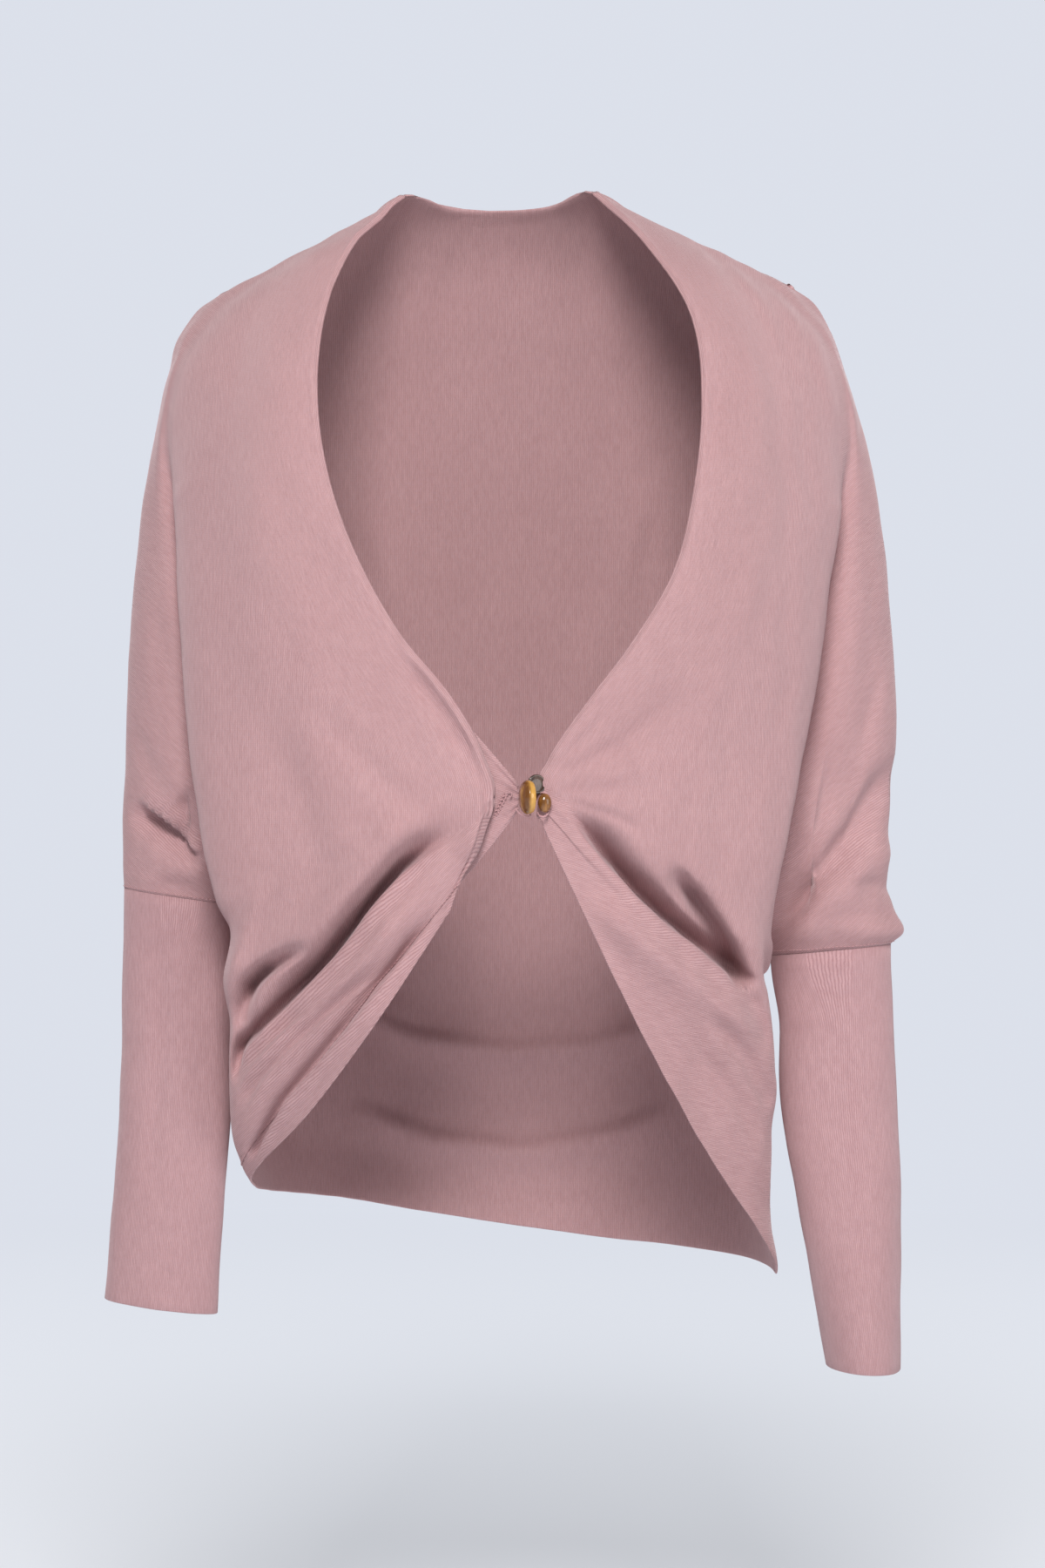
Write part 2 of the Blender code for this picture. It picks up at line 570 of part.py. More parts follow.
def build_cloth(material):
    """The sewn pieces of the cardigan, from one welded surface."""
    cloth = Cloth()
    sides = (
        ("right", RIGHT_FRONT, RIGHT_BACK, LEFT_BACK, RIGHT_SLEEVE, -1, RIGHT_CUFF_TILT),
        ("left", LEFT_FRONT, LEFT_BACK, RIGHT_BACK, LEFT_SLEEVE, 1, LEFT_CUFF_TILT),
    )
    for side, front, back, other_back, sleeve, outward, tilt in sides:
        hoops = half_hoops(front, back, other_back)
        top = hoops[ELBOW_ROW, VALLEY:BACK_VALLEY]
        add_half(cloth, side, hoops, sleeve_rings(sleeve, top, outward, tilt))
    quads = np.array([quad for piece in cloth.quads.values() for quad in piece])
    places = press_folds(cloth, np.array(cloth.places), quads)
    body = [quad for piece, own in cloth.quads.items() if "lower_sleeve" not in piece for quad in own]
    body_facing = softened(normals_of(places, np.array(body)), np.array(body), NORMAL_ROUNDS)
    owners = {}
    for piece, own in cloth.quads.items():
        for point in {corner for quad in own for corner in quad}:
            owners.setdefault(point, set()).add(piece)
    shared = {point: pieces for point, pieces in owners.items() if len(pieces) > 1}
    for piece, own in cloth.quads.items():
        facing = body_facing if "lower_sleeve" not in piece else normals_of(places, np.array(own))
        rim, shift = seam_shift(piece, cloth.quads, places, facing, shared)
        wall(piece, own, places, facing, rim, shift, material)


def guide_tab(field, at):
    return smooth([row.share for row in TAB], [getattr(row, field) for row in TAB], at)


def build_tab(material):
    """The under-tab: a strip from below the right front's edge to the button."""
    at = np.linspace(0, 1, TAB_ROWS + 1)
    left = guide_tab("left", at)
    right = guide_tab("right", at)
    columns = np.linspace(0, 1, TAB_COLUMNS + 1)
    places = np.array([[left[i] + (right[i] - left[i]) * t for t in columns] for i in range(len(at))])
    width = len(columns)
    places = places.reshape(-1, 3)
    quads = []
    for i in range(TAB_ROWS):
        for j in range(TAB_COLUMNS):
            corner = i * width + j
            quads.append([corner, corner + width, corner + width + 1, corner + 1])
    own = np.array(quads)
    facing = normals_of(places, own)
    pairs = {tuple(quad[[i, (i + 1) % 4]]) for quad in own for i in range(4)}
    rim = [edge for edge in pairs if edge[::-1] not in pairs]
    wall("button_tab", quads, places, facing, rim, {}, material)


def build_button(button, material):
    """A domed round button, turned about its axis."""
    axis = np.array(button.axis) / np.linalg.norm(button.axis)
    upright = np.array([0.0, 0.0, 1.0])
    across_way = np.cross(upright, axis)
    centre = np.array(button.centre)
    points = [centre + axis * button.thickness / 2]
    for radius, height in BUTTON_PROFILE:
        for step in range(BUTTON_SIDES):
            angle = 2 * math.pi * step / BUTTON_SIDES
            aside = across_way * math.cos(angle) * button.narrow + upright * math.sin(angle)
            points.append(centre + axis * button.thickness * height + aside * button.radius * radius)
    points.append(centre - axis * button.thickness / 2)
    faces = []
    last = len(points) - 1
    rings = len(BUTTON_PROFILE)
    for step in range(BUTTON_SIDES):
        after = (step + 1) % BUTTON_SIDES
        faces.append([0, 1 + step, 1 + after])
        for ring in range(rings - 1):
            start = 1 + ring * BUTTON_SIDES
            below = start + BUTTON_SIDES
            faces.append([start + step, below + step, below + after, start + after])
        low = 1 + (rings - 1) * BUTTON_SIDES
        faces.append([low + step, last, low + after])
    return mesh_object(button.name, points, faces, material)


def build_thread(material):
    """The linking thread, a short round cord behind the two edges."""
    curve = bpy.data.curves.new("link_thread", "CURVE")
    curve.dimensions = "3D"
    spline = curve.splines.new("POLY")
    spline.points.add(len(THREAD_PATH) - 1)
    for point, place in zip(spline.points, THREAD_PATH):
        point.co = (*(value * MM for value in place), 1.0)
    curve.bevel_depth = THREAD_RADIUS * MM
    curve.bevel_resolution = 2
    curve.use_fill_caps = True
    curve.materials.append(material)
    obj = bpy.data.objects.new("link_thread", curve)
    bpy.context.scene.collection.objects.link(obj)
    return obj


def main():
    clear_scene()
    jersey = principled("dusty pink jersey", (0.50, 0.29, 0.30), 0.9)
    amber = principled("amber horn", (0.42, 0.18, 0.03), 0.25)
    brown = principled("brown horn", (0.10, 0.045, 0.02), 0.25)
    thread = principled("pink thread", (0.52, 0.28, 0.28), 0.85)
    build_cloth(jersey)
    build_tab(jersey)
    for button in BUTTONS:
        build_button(button, amber if button.name == "button_amber" else brown)
    build_thread(thread)


main()
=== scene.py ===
# %% [markdown]
# A dusty pink jersey cardigan, hollow as it is worn, held at the waist by linked buttons.
# The CAD frame gives its solids in metres, and this lesson dresses them: each sewn piece becomes a thin
# knitted shell that lies on the form of its solid, and each button and thread gets its finish.
# The frame comes first, because every piece rides on it and takes its place from it.
# It could also be modelled by eye against a picture, but then the looks and the solids would drift apart.

# %% Load the frame
import math
from collections import namedtuple

import bpy
import numpy as np
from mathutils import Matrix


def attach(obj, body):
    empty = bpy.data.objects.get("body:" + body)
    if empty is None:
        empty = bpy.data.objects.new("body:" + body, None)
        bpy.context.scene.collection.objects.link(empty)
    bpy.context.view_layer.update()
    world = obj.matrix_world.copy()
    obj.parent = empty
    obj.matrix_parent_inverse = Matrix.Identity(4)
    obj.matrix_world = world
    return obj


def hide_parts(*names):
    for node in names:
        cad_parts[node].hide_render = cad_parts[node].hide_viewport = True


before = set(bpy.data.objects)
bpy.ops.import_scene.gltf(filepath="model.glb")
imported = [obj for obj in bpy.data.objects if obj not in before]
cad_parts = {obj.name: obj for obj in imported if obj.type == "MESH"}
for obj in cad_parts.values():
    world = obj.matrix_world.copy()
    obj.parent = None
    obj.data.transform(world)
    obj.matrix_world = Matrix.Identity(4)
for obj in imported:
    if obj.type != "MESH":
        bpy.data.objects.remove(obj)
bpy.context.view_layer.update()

# %% [markdown]
# The camera looks straight at the cardigan, from 2.1 metres in front of it and level with its waist. A
# long lens keeps the sleeves from growing wider towards the edges of the picture, as a product
# photographer would choose it. The picture is upright, so Blender fits the sensor to its height.

# %% Camera
CAMERA_PLACE = (0.0104, -2.1, -0.338)
CAMERA_LENS = 80.8

camera_data = bpy.data.cameras.new("camera")
camera_data.lens = CAMERA_LENS
camera = bpy.data.objects.new("camera", camera_data)
camera.location = CAMERA_PLACE
camera.rotation_euler = (math.radians(90), 0, 0)
bpy.context.scene.collection.objects.link(camera)
bpy.context.scene.camera = camera
print("camera lens", CAMERA_LENS, "mm")

# %% [markdown]
# The cloth hangs in hoops: each row of these tables is one hoop, from the front edge over the panel to
# the ridge where it drops into the sleeve, over the arm, and round the back to the spine. Lengths are
# millimetres, with +X the wearer's left, -Y the front and Z up. A cloth simulation could hang the cloth
# too, but a drape that has to match one real garment is easier to steer with measured sections.

# %% Hoops of the fronts
MM = 0.001
Front = namedtuple("Front", "down edge ridge valley arm out up sleeve")
RIGHT_FRONT = (
    Front(0.00, (-61, 10, 17), (-136, 9, -30), (-154, 9, -37), (-170, 8, -44), 0, -5, 0),
    Front(0.03, (-67, 0, 9), (-149, -7, -36), (-167, -3, -45), (-185, 7, -56), 3, -1, 1),
    Front(0.06, (-74, -9, 0), (-163, -15, -50), (-180, -10, -60), (-195, 6, -70), 7, 1, 3),
    Front(0.12, (-86, -30, -15), (-180, -24, -74), (-191, -15, -82), (-201, 5, -92), 13, 4, 5),
    Front(0.25, (-104, -69, -65), (-195, -33, -127), (-201, -22, -132), (-211, 3, -139), 19, 2, 6),
    Front(0.38, (-107, -92, -117), (-194, -40, -172), (-194, -24, -173), (-218, 1, -183), 24, 0, 9),
    Front(0.50, (-100, -106, -162), (-191, -48, -211), (-184, -28, -212), (-222, 0, -229), 26, 0, 15),
    Front(0.62, (-85, -116, -205), (-188, -57, -255), (-178, -32, -256), (-225, -1, -270), 26, 0, 17),
    Front(0.75, (-60, -122, -251), (-184, -64, -303), (-174, -32, -305), (-226, -2, -317), 24, 0, 17),
    Front(0.88, (-29, -124, -290), (-177, -70, -356), (-168, -27, -359), (-228, -3, -360), 22, 0, 17),
    Front(0.95, (-15, -124, -313), (-172, -72, -383), (-163, -19, -390), (-228, -3, -384), 22, 0, 18),
    Front(1.00, (-8, -123, -330), (-167, -72, -402), (-160, -2, -410), (-227, -3, -400), 22, 0, 20),
    Front(1.10, (-6, -123, -335), (-158, -70, -424), (-149, -2, -427), None, 22, 0, 0),
    Front(1.20, (-5, -123, -340), (-163, -62, -453), (-151, 0, -449), None, 23, 0, 0),
    Front(1.30, (-5, -123, -344), (-160, -56, -476), (-155, 2, -470), None, 24, 0, 0),
    Front(1.45, (-5, -122, -349), (-161, -50, -503), (-156, 5, -499), None, 25, 0, 0),
    Front(1.60, (-8, -122, -358), (-161, -42, -522), (-157, 8, -523), None, 26, 0, 0),
    Front(1.75, (-13, -121, -372), (-160, -32, -543), (-158, 11, -547), None, 28, 2, 0),
    Front(1.90, (-24, -119, -393), (-156, -16, -564), (-155, 15, -568), None, 31, 2, 0),
    Front(2.00, (-29, -116, -407), (-152, -4, -574), (-151, 19, -580), None, 34, -7, 0),
)
LEFT_FRONT = (
    Front(0.00, (53, 10, 19), (136, 9, -26), (154, 9, -32), (170, 8, -39), 0, -3, 0),
    Front(0.03, (61, -3, 9), (149, -7, -32), (167, -3, -41), (185, 7, -51), 3, 0, 1),
    Front(0.06, (69, -18, -1), (164, -15, -47), (181, -10, -57), (195, 6, -68), 7, 1, 3),
    Front(0.12, (84, -42, -22), (183, -24, -71), (194, -15, -81), (204, 5, -95), 13, 4, 5),
    Front(0.25, (109, -76, -70), (198, -33, -127), (204, -22, -131), (218, 3, -143), 19, 2, 6),
    Front(0.38, (113, -95, -121), (197, -40, -178), (197, -26, -180), (226, 1, -192), 24, 0, 9),
    Front(0.50, (108, -108, -168), (190, -50, -218), (188, -31, -221), (230, 0, -238), 26, 0, 15),
    Front(0.62, (97, -117, -214), (184, -57, -265), (181, -32, -268), (233, -1, -286), 26, 0, 17),
    Front(0.75, (74, -121, -255), (175, -64, -311), (172, -31, -315), (232, -3, -336), 24, 0, 18),
    Front(0.88, (42, -121, -298), (165, -70, -361), (163, -27, -367), (227, -4, -385), 22, 0, 18),
    Front(0.95, (28, -121, -318), (158, -72, -392), (159, -20, -402), (231, -5, -411), 22, 0, 20),
    Front(0.98, (23, -120, -327), (154, -73, -408), (158, -12, -425), (237, -5, -426), 22, 0, 22),
    Front(1.00, (20, -120, -332), (152, -73, -418), (158, -3, -440), (230, -5, -433), 22, 0, 18),
    Front(1.10, (19, -120, -335), (150, -70, -445), (147, -2, -456), None, 22, 0, 0),
    Front(1.20, (19, -120, -337), (152, -64, -459), (146, 0, -470), None, 22, 0, 0),
    Front(1.35, (18, -120, -340), (155, -56, -476), (147, 3, -486), None, 23, 0, 0),
    Front(1.50, (18, -119, -344), (157, -50, -493), (149, 6, -502), None, 24, 0, 0),
    Front(1.60, (18, -119, -347), (158, -46, -504), (150, 8, -515), None, 25, 0, 0),
    Front(1.70, (19, -118, -349), (159, -40, -519), (151, 10, -533), None, 26, 0, 0),
    Front(1.80, (19, -118, -352), (157, -30, -544), (153, 12, -557), None, 28, 0, 0),
    Front(1.90, (19, -118, -354), (157, -16, -586), (158, 15, -599), None, 32, -4, 0),
    Front(2.00, (20, -118, -357), (162, -2, -623), (164, 19, -632), None, 36, -12, 0),
)
print("hoops measured on the fronts:", len(RIGHT_FRONT), "and", len(LEFT_FRONT))

# %% [markdown]
# The back's hoops carry on from the fronts', from the valley behind the arm to the back of the neck, and a
# line down the spine joins the two halves. The photo doesn't show the back, so it is guessed as a plain
# drape. The lower sleeves are oval rings, flattened as slack sleeves are.

# %% Hoops of the back and rings of the lower sleeves
Back = namedtuple("Back", "down valley ridge neck out")
RIGHT_BACK = (
    Back(0.00, (-154, 9, -37), (-136, 9, -30), (-61, 10, 17), 0),
    Back(0.03, (-167, 19, -45), (-148, 23, -34), (-62, 25, 10), 3),
    Back(0.06, (-179, 25, -59), (-161, 33, -46), (-64, 36, 2), 7),
    Back(0.12, (-190, 29, -81), (-176, 43, -68), (-66, 56, -20), 9),
    Back(0.25, (-201, 30, -132), (-190, 56, -124), (-72, 79, -72), 8),
    Back(0.50, (-193, 36, -214), (-182, 72, -206), (-78, 98, -178), 8),
    Back(0.75, (-179, 38, -308), (-172, 84, -300), (-80, 105, -280), 8),
    Back(0.88, (-171, 29, -360), (-166, 87, -350), (-79, 108, -336), 8),
    Back(0.95, (-164, 18, -390), (-162, 87, -374), (-77, 110, -362), 8),
    Back(1.00, (-160, -2, -410), (-159, 86, -394), (-76, 112, -384), 8),
    Back(1.20, (-151, 0, -449), (-152, 84, -446), (-73, 119, -442), 8),
    Back(1.45, (-156, 5, -499), (-153, 86, -498), (-72, 127, -502), 9),
    Back(1.75, (-158, 11, -547), (-148, 85, -552), (-71, 127, -566), 10),
    Back(2.00, (-151, 19, -580), (-136, 78, -590), (-67, 117, -604), 10),
)
LEFT_BACK = (
    Back(0.00, (154, 9, -32), (136, 9, -26), (53, 10, 19), 0),
    Back(0.03, (167, 19, -41), (148, 23, -30), (55, 25, 12), 3),
    Back(0.06, (180, 25, -56), (161, 33, -43), (57, 36, 4), 7),
    Back(0.12, (193, 29, -80), (179, 43, -68), (60, 56, -18), 9),
    Back(0.25, (204, 30, -131), (193, 56, -124), (68, 79, -70), 8),
    Back(0.50, (189, 38, -221), (184, 72, -214), (76, 98, -182), 8),
    Back(0.75, (174, 37, -315), (172, 84, -310), (79, 105, -286), 8),
    Back(0.88, (165, 28, -367), (163, 87, -360), (78, 108, -342), 8),
    Back(0.95, (160, 17, -402), (157, 87, -386), (77, 110, -368), 8),
    Back(1.00, (158, -3, -440), (153, 86, -412), (76, 112, -390), 8),
    Back(1.20, (146, 0, -470), (147, 84, -462), (73, 119, -450), 8),
    Back(1.50, (149, 6, -502), (149, 86, -510), (72, 127, -518), 9),
    Back(1.80, (153, 12, -557), (148, 85, -568), (71, 126, -582), 10),
    Back(2.00, (164, 19, -632), (148, 80, -630), (69, 118, -624), 10),
)
Spine = namedtuple("Spine", "down y z")
SPINE_LINE = (
    Spine(0.00, 50, 12),
    Spine(0.06, 59, 3),
    Spine(0.12, 69, -12),
    Spine(0.25, 84, -60),
    Spine(0.50, 99, -166),
    Spine(0.75, 105, -270),
    Spine(1.00, 112, -380),
    Spine(1.30, 125, -464),
    Spine(1.60, 132, -536),
    Spine(1.80, 129, -580),
    Spine(2.00, 121, -615),
)
Ring = namedtuple("Ring", "z x y half_width half_depth")
RIGHT_SLEEVE = (
    Ring(-412, -196, -2, 32, 18.5),
    Ring(-470, -195, -2, 33.5, 18.5),
    Ring(-540, -197, -3, 33.5, 18.5),
    Ring(-590, -201, -3, 33, 19),
    Ring(-648, -205, -4, 33.5, 18.5),
)
LEFT_SLEEVE = (
    Ring(-446, 197, -4, 33, 18),
    Ring(-530, 199, -5, 34.5, 17.5),
    Ring(-590, 205, -6, 30.5, 23),
    Ring(-640, 209, -7, 26, 28),
    Ring(-684, 213, -8, 22, 31),
)
RIGHT_CUFF_TILT = -4.5
LEFT_CUFF_TILT = -1.0
print("hoops measured on the back:", len(RIGHT_BACK), "and", len(LEFT_BACK))

# %% [markdown]
# A soft surface needs a smooth line through each set of measured points. A Hermite curve does that with
# one tangent for each point, and its tangents are held back where the cloth turns sharply, so that the
# curve never swings past a point. Blender's own curves would do as well, but here each point of the line
# has to be known, because the mesh is built from them.

# %% Smooth lines through measured points
SAME_WAY_LIMIT = 3.0


def eased(share):
    """A share between 0 and 1 that starts and ends gently."""
    return share * share * (3 - 2 * share)


def smooth(knots, values, at):
    """A smooth curve through the values, read at the given places along the knots, with no overshoot."""
    knots = np.asarray(knots, float)
    values = np.asarray(values, float)
    steps = np.diff(knots)
    slopes = np.diff(values, axis=0) / steps[:, None]
    tangents = np.empty_like(values)
    tangents[0] = slopes[0]
    tangents[-1] = slopes[-1]
    before = steps[:-1, None]
    after = steps[1:, None]
    tangents[1:-1] = (slopes[:-1] * after + slopes[1:] * before) / (before + after)
    gentler = np.minimum(abs(slopes[:-1]), abs(slopes[1:]))
    limit = gentler * np.where(slopes[:-1] * slopes[1:] > 0, SAME_WAY_LIMIT, 1.0)
    tangents[1:-1] = np.clip(tangents[1:-1], -limit, limit)
    at = np.clip(np.asarray(at, float), knots[0], knots[-1])
    span = np.clip(np.searchsorted(knots, at, side="right") - 1, 0, len(steps) - 1)
    size = steps[span][:, None]
    t = (at - knots[span])[:, None] / size
    start = (1 + 2 * t) * (1 - t) ** 2 * values[span] + t * (1 - t) ** 2 * size * tangents[span]
    end = t * t * (3 - 2 * t) * values[span + 1] + t * t * (t - 1) * size * tangents[span + 1]
    return start + end


def bowed(start, end, share, bow):
    """A point on the chord from start to end, pushed off it by a parabola of height bow."""
    return start + (end - start) * share + 4 * share * (1 - share) * bow


def across(controls, spans, ghost):
    """Points on a smooth curve through the controls, with each span's columns at their shares of the span."""
    points = np.array([*controls, ghost])
    knots = np.concatenate([[0.0], np.cumsum(np.linalg.norm(np.diff(points, axis=0), axis=1) + 1e-6)])
    at = [knots[0]]
    for i, shares in enumerate(spans):
        at.extend(knots[i] + (knots[i + 1] - knots[i]) * shares)
    return smooth(knots, points, at)


def guide(table, field, at):
    """One guide line of a table, smoothed and read at every row."""
    rows = [row for row in table if getattr(row, field) is not None]
    values = [np.atleast_1d(getattr(row, field)) for row in rows]
    return smooth([row.down for row in rows], values, at)


# %% [markdown]
# The mesh of the looks is much finer than the solid's, because soft creases need points every few
# millimetres. It has five rows for each of the solid's, and its columns crowd towards the open edge, where
# the cloth rolls. The columns of one hoop are counted from the front edge to the spine, and the rows run
# from the shoulder past the elbow to the hem. Equal steps would be simpler, but they would spend points on
# calm cloth and leave the edge angular.

# %% Columns and rows
FINER = 5
EDGE_CROWDING = 1.35


def shares_of(count, crowding=1.0):
    """Where a span's columns are, as shares of it, crowded towards its start if wanted."""
    return (np.arange(1, count + 1) / count) ** crowding


def crowded_end(count, crowding):
    """The same shares crowded towards the span's end."""
    return 1 - (1 - np.arange(1, count + 1) / count) ** crowding


PANEL_SPANS = (shares_of(21, EDGE_CROWDING), shares_of(20), shares_of(18))
BACK_PANEL_SPANS = (shares_of(18), shares_of(20), crowded_end(21, EDGE_CROWDING))
FOLD_SPANS = (shares_of(10),)
SLEEVE_SPANS = (shares_of(15), shares_of(5), shares_of(15))
NAPE_SPANS = (shares_of(6), shares_of(6))


def columns_in(spans):
    """How many columns the spans have together."""
    return sum(len(shares) for shares in spans)


RIDGE = columns_in(PANEL_SPANS)
VALLEY = RIDGE + columns_in(FOLD_SPANS)
ARM = VALLEY + columns_in(SLEEVE_SPANS)
BACK_VALLEY = ARM + columns_in(SLEEVE_SPANS)
BACK_RIDGE = BACK_VALLEY + columns_in(FOLD_SPANS)
NECK = BACK_RIDGE + columns_in(BACK_PANEL_SPANS)
SPINE = NECK + columns_in(NAPE_SPANS)
UPPER_ROWS = 22 * FINER
LOWER_ROWS = 20 * FINER
BAND_ROWS = 2 * FINER
BAND_AT = 1.9
ELBOW_ROW = UPPER_ROWS
BAND_ROW = ELBOW_ROW + LOWER_ROWS
HEM_ROW = BAND_ROW + BAND_ROWS
SLEEVE_RINGS = 12 * 4 + 1
ROW_CROWDING = 0.5


def row_places():
    """How far down each row of hoops is, closer together towards the shoulder and the elbow."""
    even = np.linspace(0, 1, UPPER_ROWS + 1)
    upper = even - ROW_CROWDING * np.sin(2 * math.pi * even) / (2 * math.pi)
    lower = np.linspace(1, BAND_AT, LOWER_ROWS + 1)[1:]
    band = np.linspace(BAND_AT, 2, BAND_ROWS + 1)[1:]
    return np.concatenate([upper, lower, band])


print("one half has", HEM_ROW + 1, "rows and", SPINE + 1, "columns")

# %% [markdown]
# Each half of the cardigan is one grid of points. Below the elbow the sleeve leaves the hoop, so the grid
# has a hole there, and the lower sleeve is a tube of rings that starts from the elbow's own shape.
# A subdivision surface over a coarse cage would be the usual way. The grid is computed here instead,
# because its rows and columns are then at hand for the seams and for the direction of the knit.

# %% Grids of the body and rings of the sleeves
PANEL_SHARES = (0, 1 / 3, 2 / 3, 1)
OVER_ARM_SHARES = (0, 0.28, 0.66, 1)
UNDER_ARM_SHARES = (0.34, 0.72)
NAPE_ROUND = 11
NAPE_DIP = 0.25
SEAT_START = 10
SEAT_LENGTH = 50


def nape_point(neck, spine, row):
    """The point between the side of the neck and the spine, rounder at the nape's edge than below it."""
    roundness = NAPE_ROUND / (1 + row / FINER)
    return bowed(neck, spine, 0.5, np.array([0.0, roundness, -roundness * NAPE_DIP]))


def half_hoops(front_table, back_table, other_back):
    """Every hoop of one half, as an array of rows by columns by x, y, z."""
    at = row_places()
    front = {name: guide(front_table, name, at) for name in Front._fields[1:]}
    back = {name: guide(back_table, name, at) for name in Back._fields[1:]}
    other_neck = guide(other_back, "neck", at)
    spine = smooth([row.down for row in SPINE_LINE], [(0, row.y, row.z) for row in SPINE_LINE], at)
    hoops = np.full((len(at), SPINE + 1, 3), np.nan)
    for i in range(len(at)):
        bow = np.array([0.0, -front["out"][i, 0], front["up"][i, 0]])
        panel = [bowed(front["edge"][i], front["ridge"][i], share, bow) for share in PANEL_SHARES]
        back_bow = np.array([0.0, back["out"][i, 0], 0.0])
        shoulder = max(0.0, 1 - i / FINER)
        back_bow = shoulder * bow + (1 - shoulder) * back_bow
        back_panel = [bowed(back["ridge"][i], back["neck"][i], share, back_bow) for share in PANEL_SHARES]
        nape = nape_point(back["neck"][i], spine[i], i)
        ghost = nape_point(other_neck[i], spine[i], i)
        if i <= ELBOW_ROW:
            lift = np.array([0.0, -front["sleeve"][i, 0], 0.0])
            over = [bowed(front["valley"][i], front["arm"][i], share, lift) for share in OVER_ARM_SHARES]
            under = [bowed(front["arm"][i], back["valley"][i], share, -lift) for share in UNDER_ARM_SHARES]
            controls = panel + over + under + [back["valley"][i]] + back_panel + [nape, spine[i]]
            spans = PANEL_SPANS + FOLD_SPANS + SLEEVE_SPANS * 2 + FOLD_SPANS + BACK_PANEL_SPANS + NAPE_SPANS
            hoops[i] = across(controls, spans, ghost)
        else:
            controls = panel + [front["valley"][i]] + back_panel + [nape, spine[i]]
            spans = PANEL_SPANS + FOLD_SPANS * 2 + BACK_PANEL_SPANS + NAPE_SPANS
            line = across(controls, spans, ghost)
            hoops[i, :VALLEY + 1] = line[:VALLEY + 1]
            hoops[i, BACK_VALLEY:] = line[VALLEY:]
    edge = [back["neck"][0], nape_point(back["neck"][0], spine[0], 0), spine[0]]
    hoops[0, NECK:] = across(edge, NAPE_SPANS, nape_point(other_neck[0], spine[0], 0))
    return hoops


def sleeve_rings(table, top, outward, tilt):
    """Rings of a lower sleeve below its top ring, which blend from the elbow's shape to the cuff's."""
    zs = [-ring.z for ring in table]
    heights = np.linspace(zs[0], zs[-1], SLEEVE_RINGS)
    sizes = smooth(zs, [ring[1:] for ring in table], heights)
    angle = 2 * math.pi * np.arange(len(top)) / len(top)
    rings = []
    for height, (x, y, wide, deep) in zip(heights, sizes):
        share = (height - zs[0]) / (zs[-1] - zs[0])
        ring = np.empty((len(top), 3))
        ring[:, 0] = x - outward * wide * np.cos(angle)
        ring[:, 1] = y - deep * np.sin(angle)
        ring[:, 2] = -height - share * tilt * np.cos(angle) * outward
        fade = min(1.0, (height - zs[0] + SEAT_START) / SEAT_LENGTH)
        seat = top + (0.0, 0.0, -height - top[:, 2].mean())
        rings.append(seat + (ring - seat) * eased(fade))
    return rings


Half = namedtuple("Half", "side outward hoops rings")
HALVES = []
for side, front, back, other_back, sleeve, outward, tilt in (
    ("right", RIGHT_FRONT, RIGHT_BACK, LEFT_BACK, RIGHT_SLEEVE, -1, RIGHT_CUFF_TILT),
    ("left", LEFT_FRONT, LEFT_BACK, RIGHT_BACK, LEFT_SLEEVE, 1, LEFT_CUFF_TILT),
):
    grid = half_hoops(front, back, other_back)
    elbow = grid[ELBOW_ROW, VALLEY:BACK_VALLEY]
    HALVES.append(Half(side, outward, grid, sleeve_rings(sleeve, elbow, outward, tilt)))
    low, high = np.nanmin(grid[..., 2]).round(), np.nanmax(grid[..., 2]).round()
    print(side, "half reaches from", low, "to", high, "mm")

# %% [markdown]
# Knitted cloth shows its wales, the upright lines of stitches, and they have a direction of their own on
# each part of the garment: upright on the middle of the fronts, slanting on the upper sleeves, and along
# the folds below the waist. Every point of a grid gets a place across and along the wales in millimetres,
# and a UV map carries it to the material. Unwrapping would lose these directions.

# %% Directions of the knit
EDGE_REACH = 55
SLEEVE_SLANT = math.radians(40)
RIGHT_ROLL_SLANT = math.radians(45)
LEFT_ROLL_SLANT = math.radians(-17)
RIGHT_MAIN_FOLD = ((-166, -524), (-160, -512), (-152, -493), (-138, -477), (-114, -453), (-98, -436),
                   (-78, -410), (-58, -385), (-44, -374), (-26, -364), (10, -346))
LEFT_MAIN_FOLD = ((10, -330), (36, -348), (48, -367), (58, -380), (72, -397), (89, -413), (101, -423),
                  (114, -433), (128, -445), (150, -468), (180, -500))


def slanted(points, slant):
    """Places across and along wales that slant in the front view."""
    across_way = points[..., 2] * math.cos(slant) - points[..., 0] * math.sin(slant)
    along_way = points[..., 0] * math.cos(slant) + points[..., 2] * math.sin(slant)
    return np.stack([across_way, along_way], axis=-1)


def upright(points, start_column, outward):
    """Places across and along upright wales, measured over the cloth from one column."""
    step = np.diff(points, axis=1)
    sideways = np.hypot(step[..., 0], step[..., 1])
    across_way = np.concatenate([np.zeros((len(points), 1)), np.cumsum(sideways, axis=1)], axis=1)
    across_way = across_way - across_way[:, start_column:start_column + 1]
    return np.stack([across_way * outward, points[..., 2]], axis=-1)


def knit_places(half):
    """For one half's grid: the knit of the body, of the upper sleeve and of the roll below the main fold."""
    hoops = half.hoops.copy()
    for row in range(ELBOW_ROW + 1, HEM_ROW + 1):
        hoops[row, VALLEY + 1:BACK_VALLEY] = hoops[row, VALLEY]
    front = upright(hoops, 0, half.outward)
    edge_x = hoops[:, :1, 0]
    near = np.clip(abs(front[..., 0]) / EDGE_REACH, 0, 1)
    front[..., 0] += edge_x * eased(near)
    back = upright(hoops, SPINE, -half.outward)
    roll_slant = RIGHT_ROLL_SLANT if half.side == "right" else LEFT_ROLL_SLANT
    return {"front": front, "back": back, "sleeve": slanted(hoops, half.outward * SLEEVE_SLANT),
            "roll": slanted(hoops, roll_slant)}


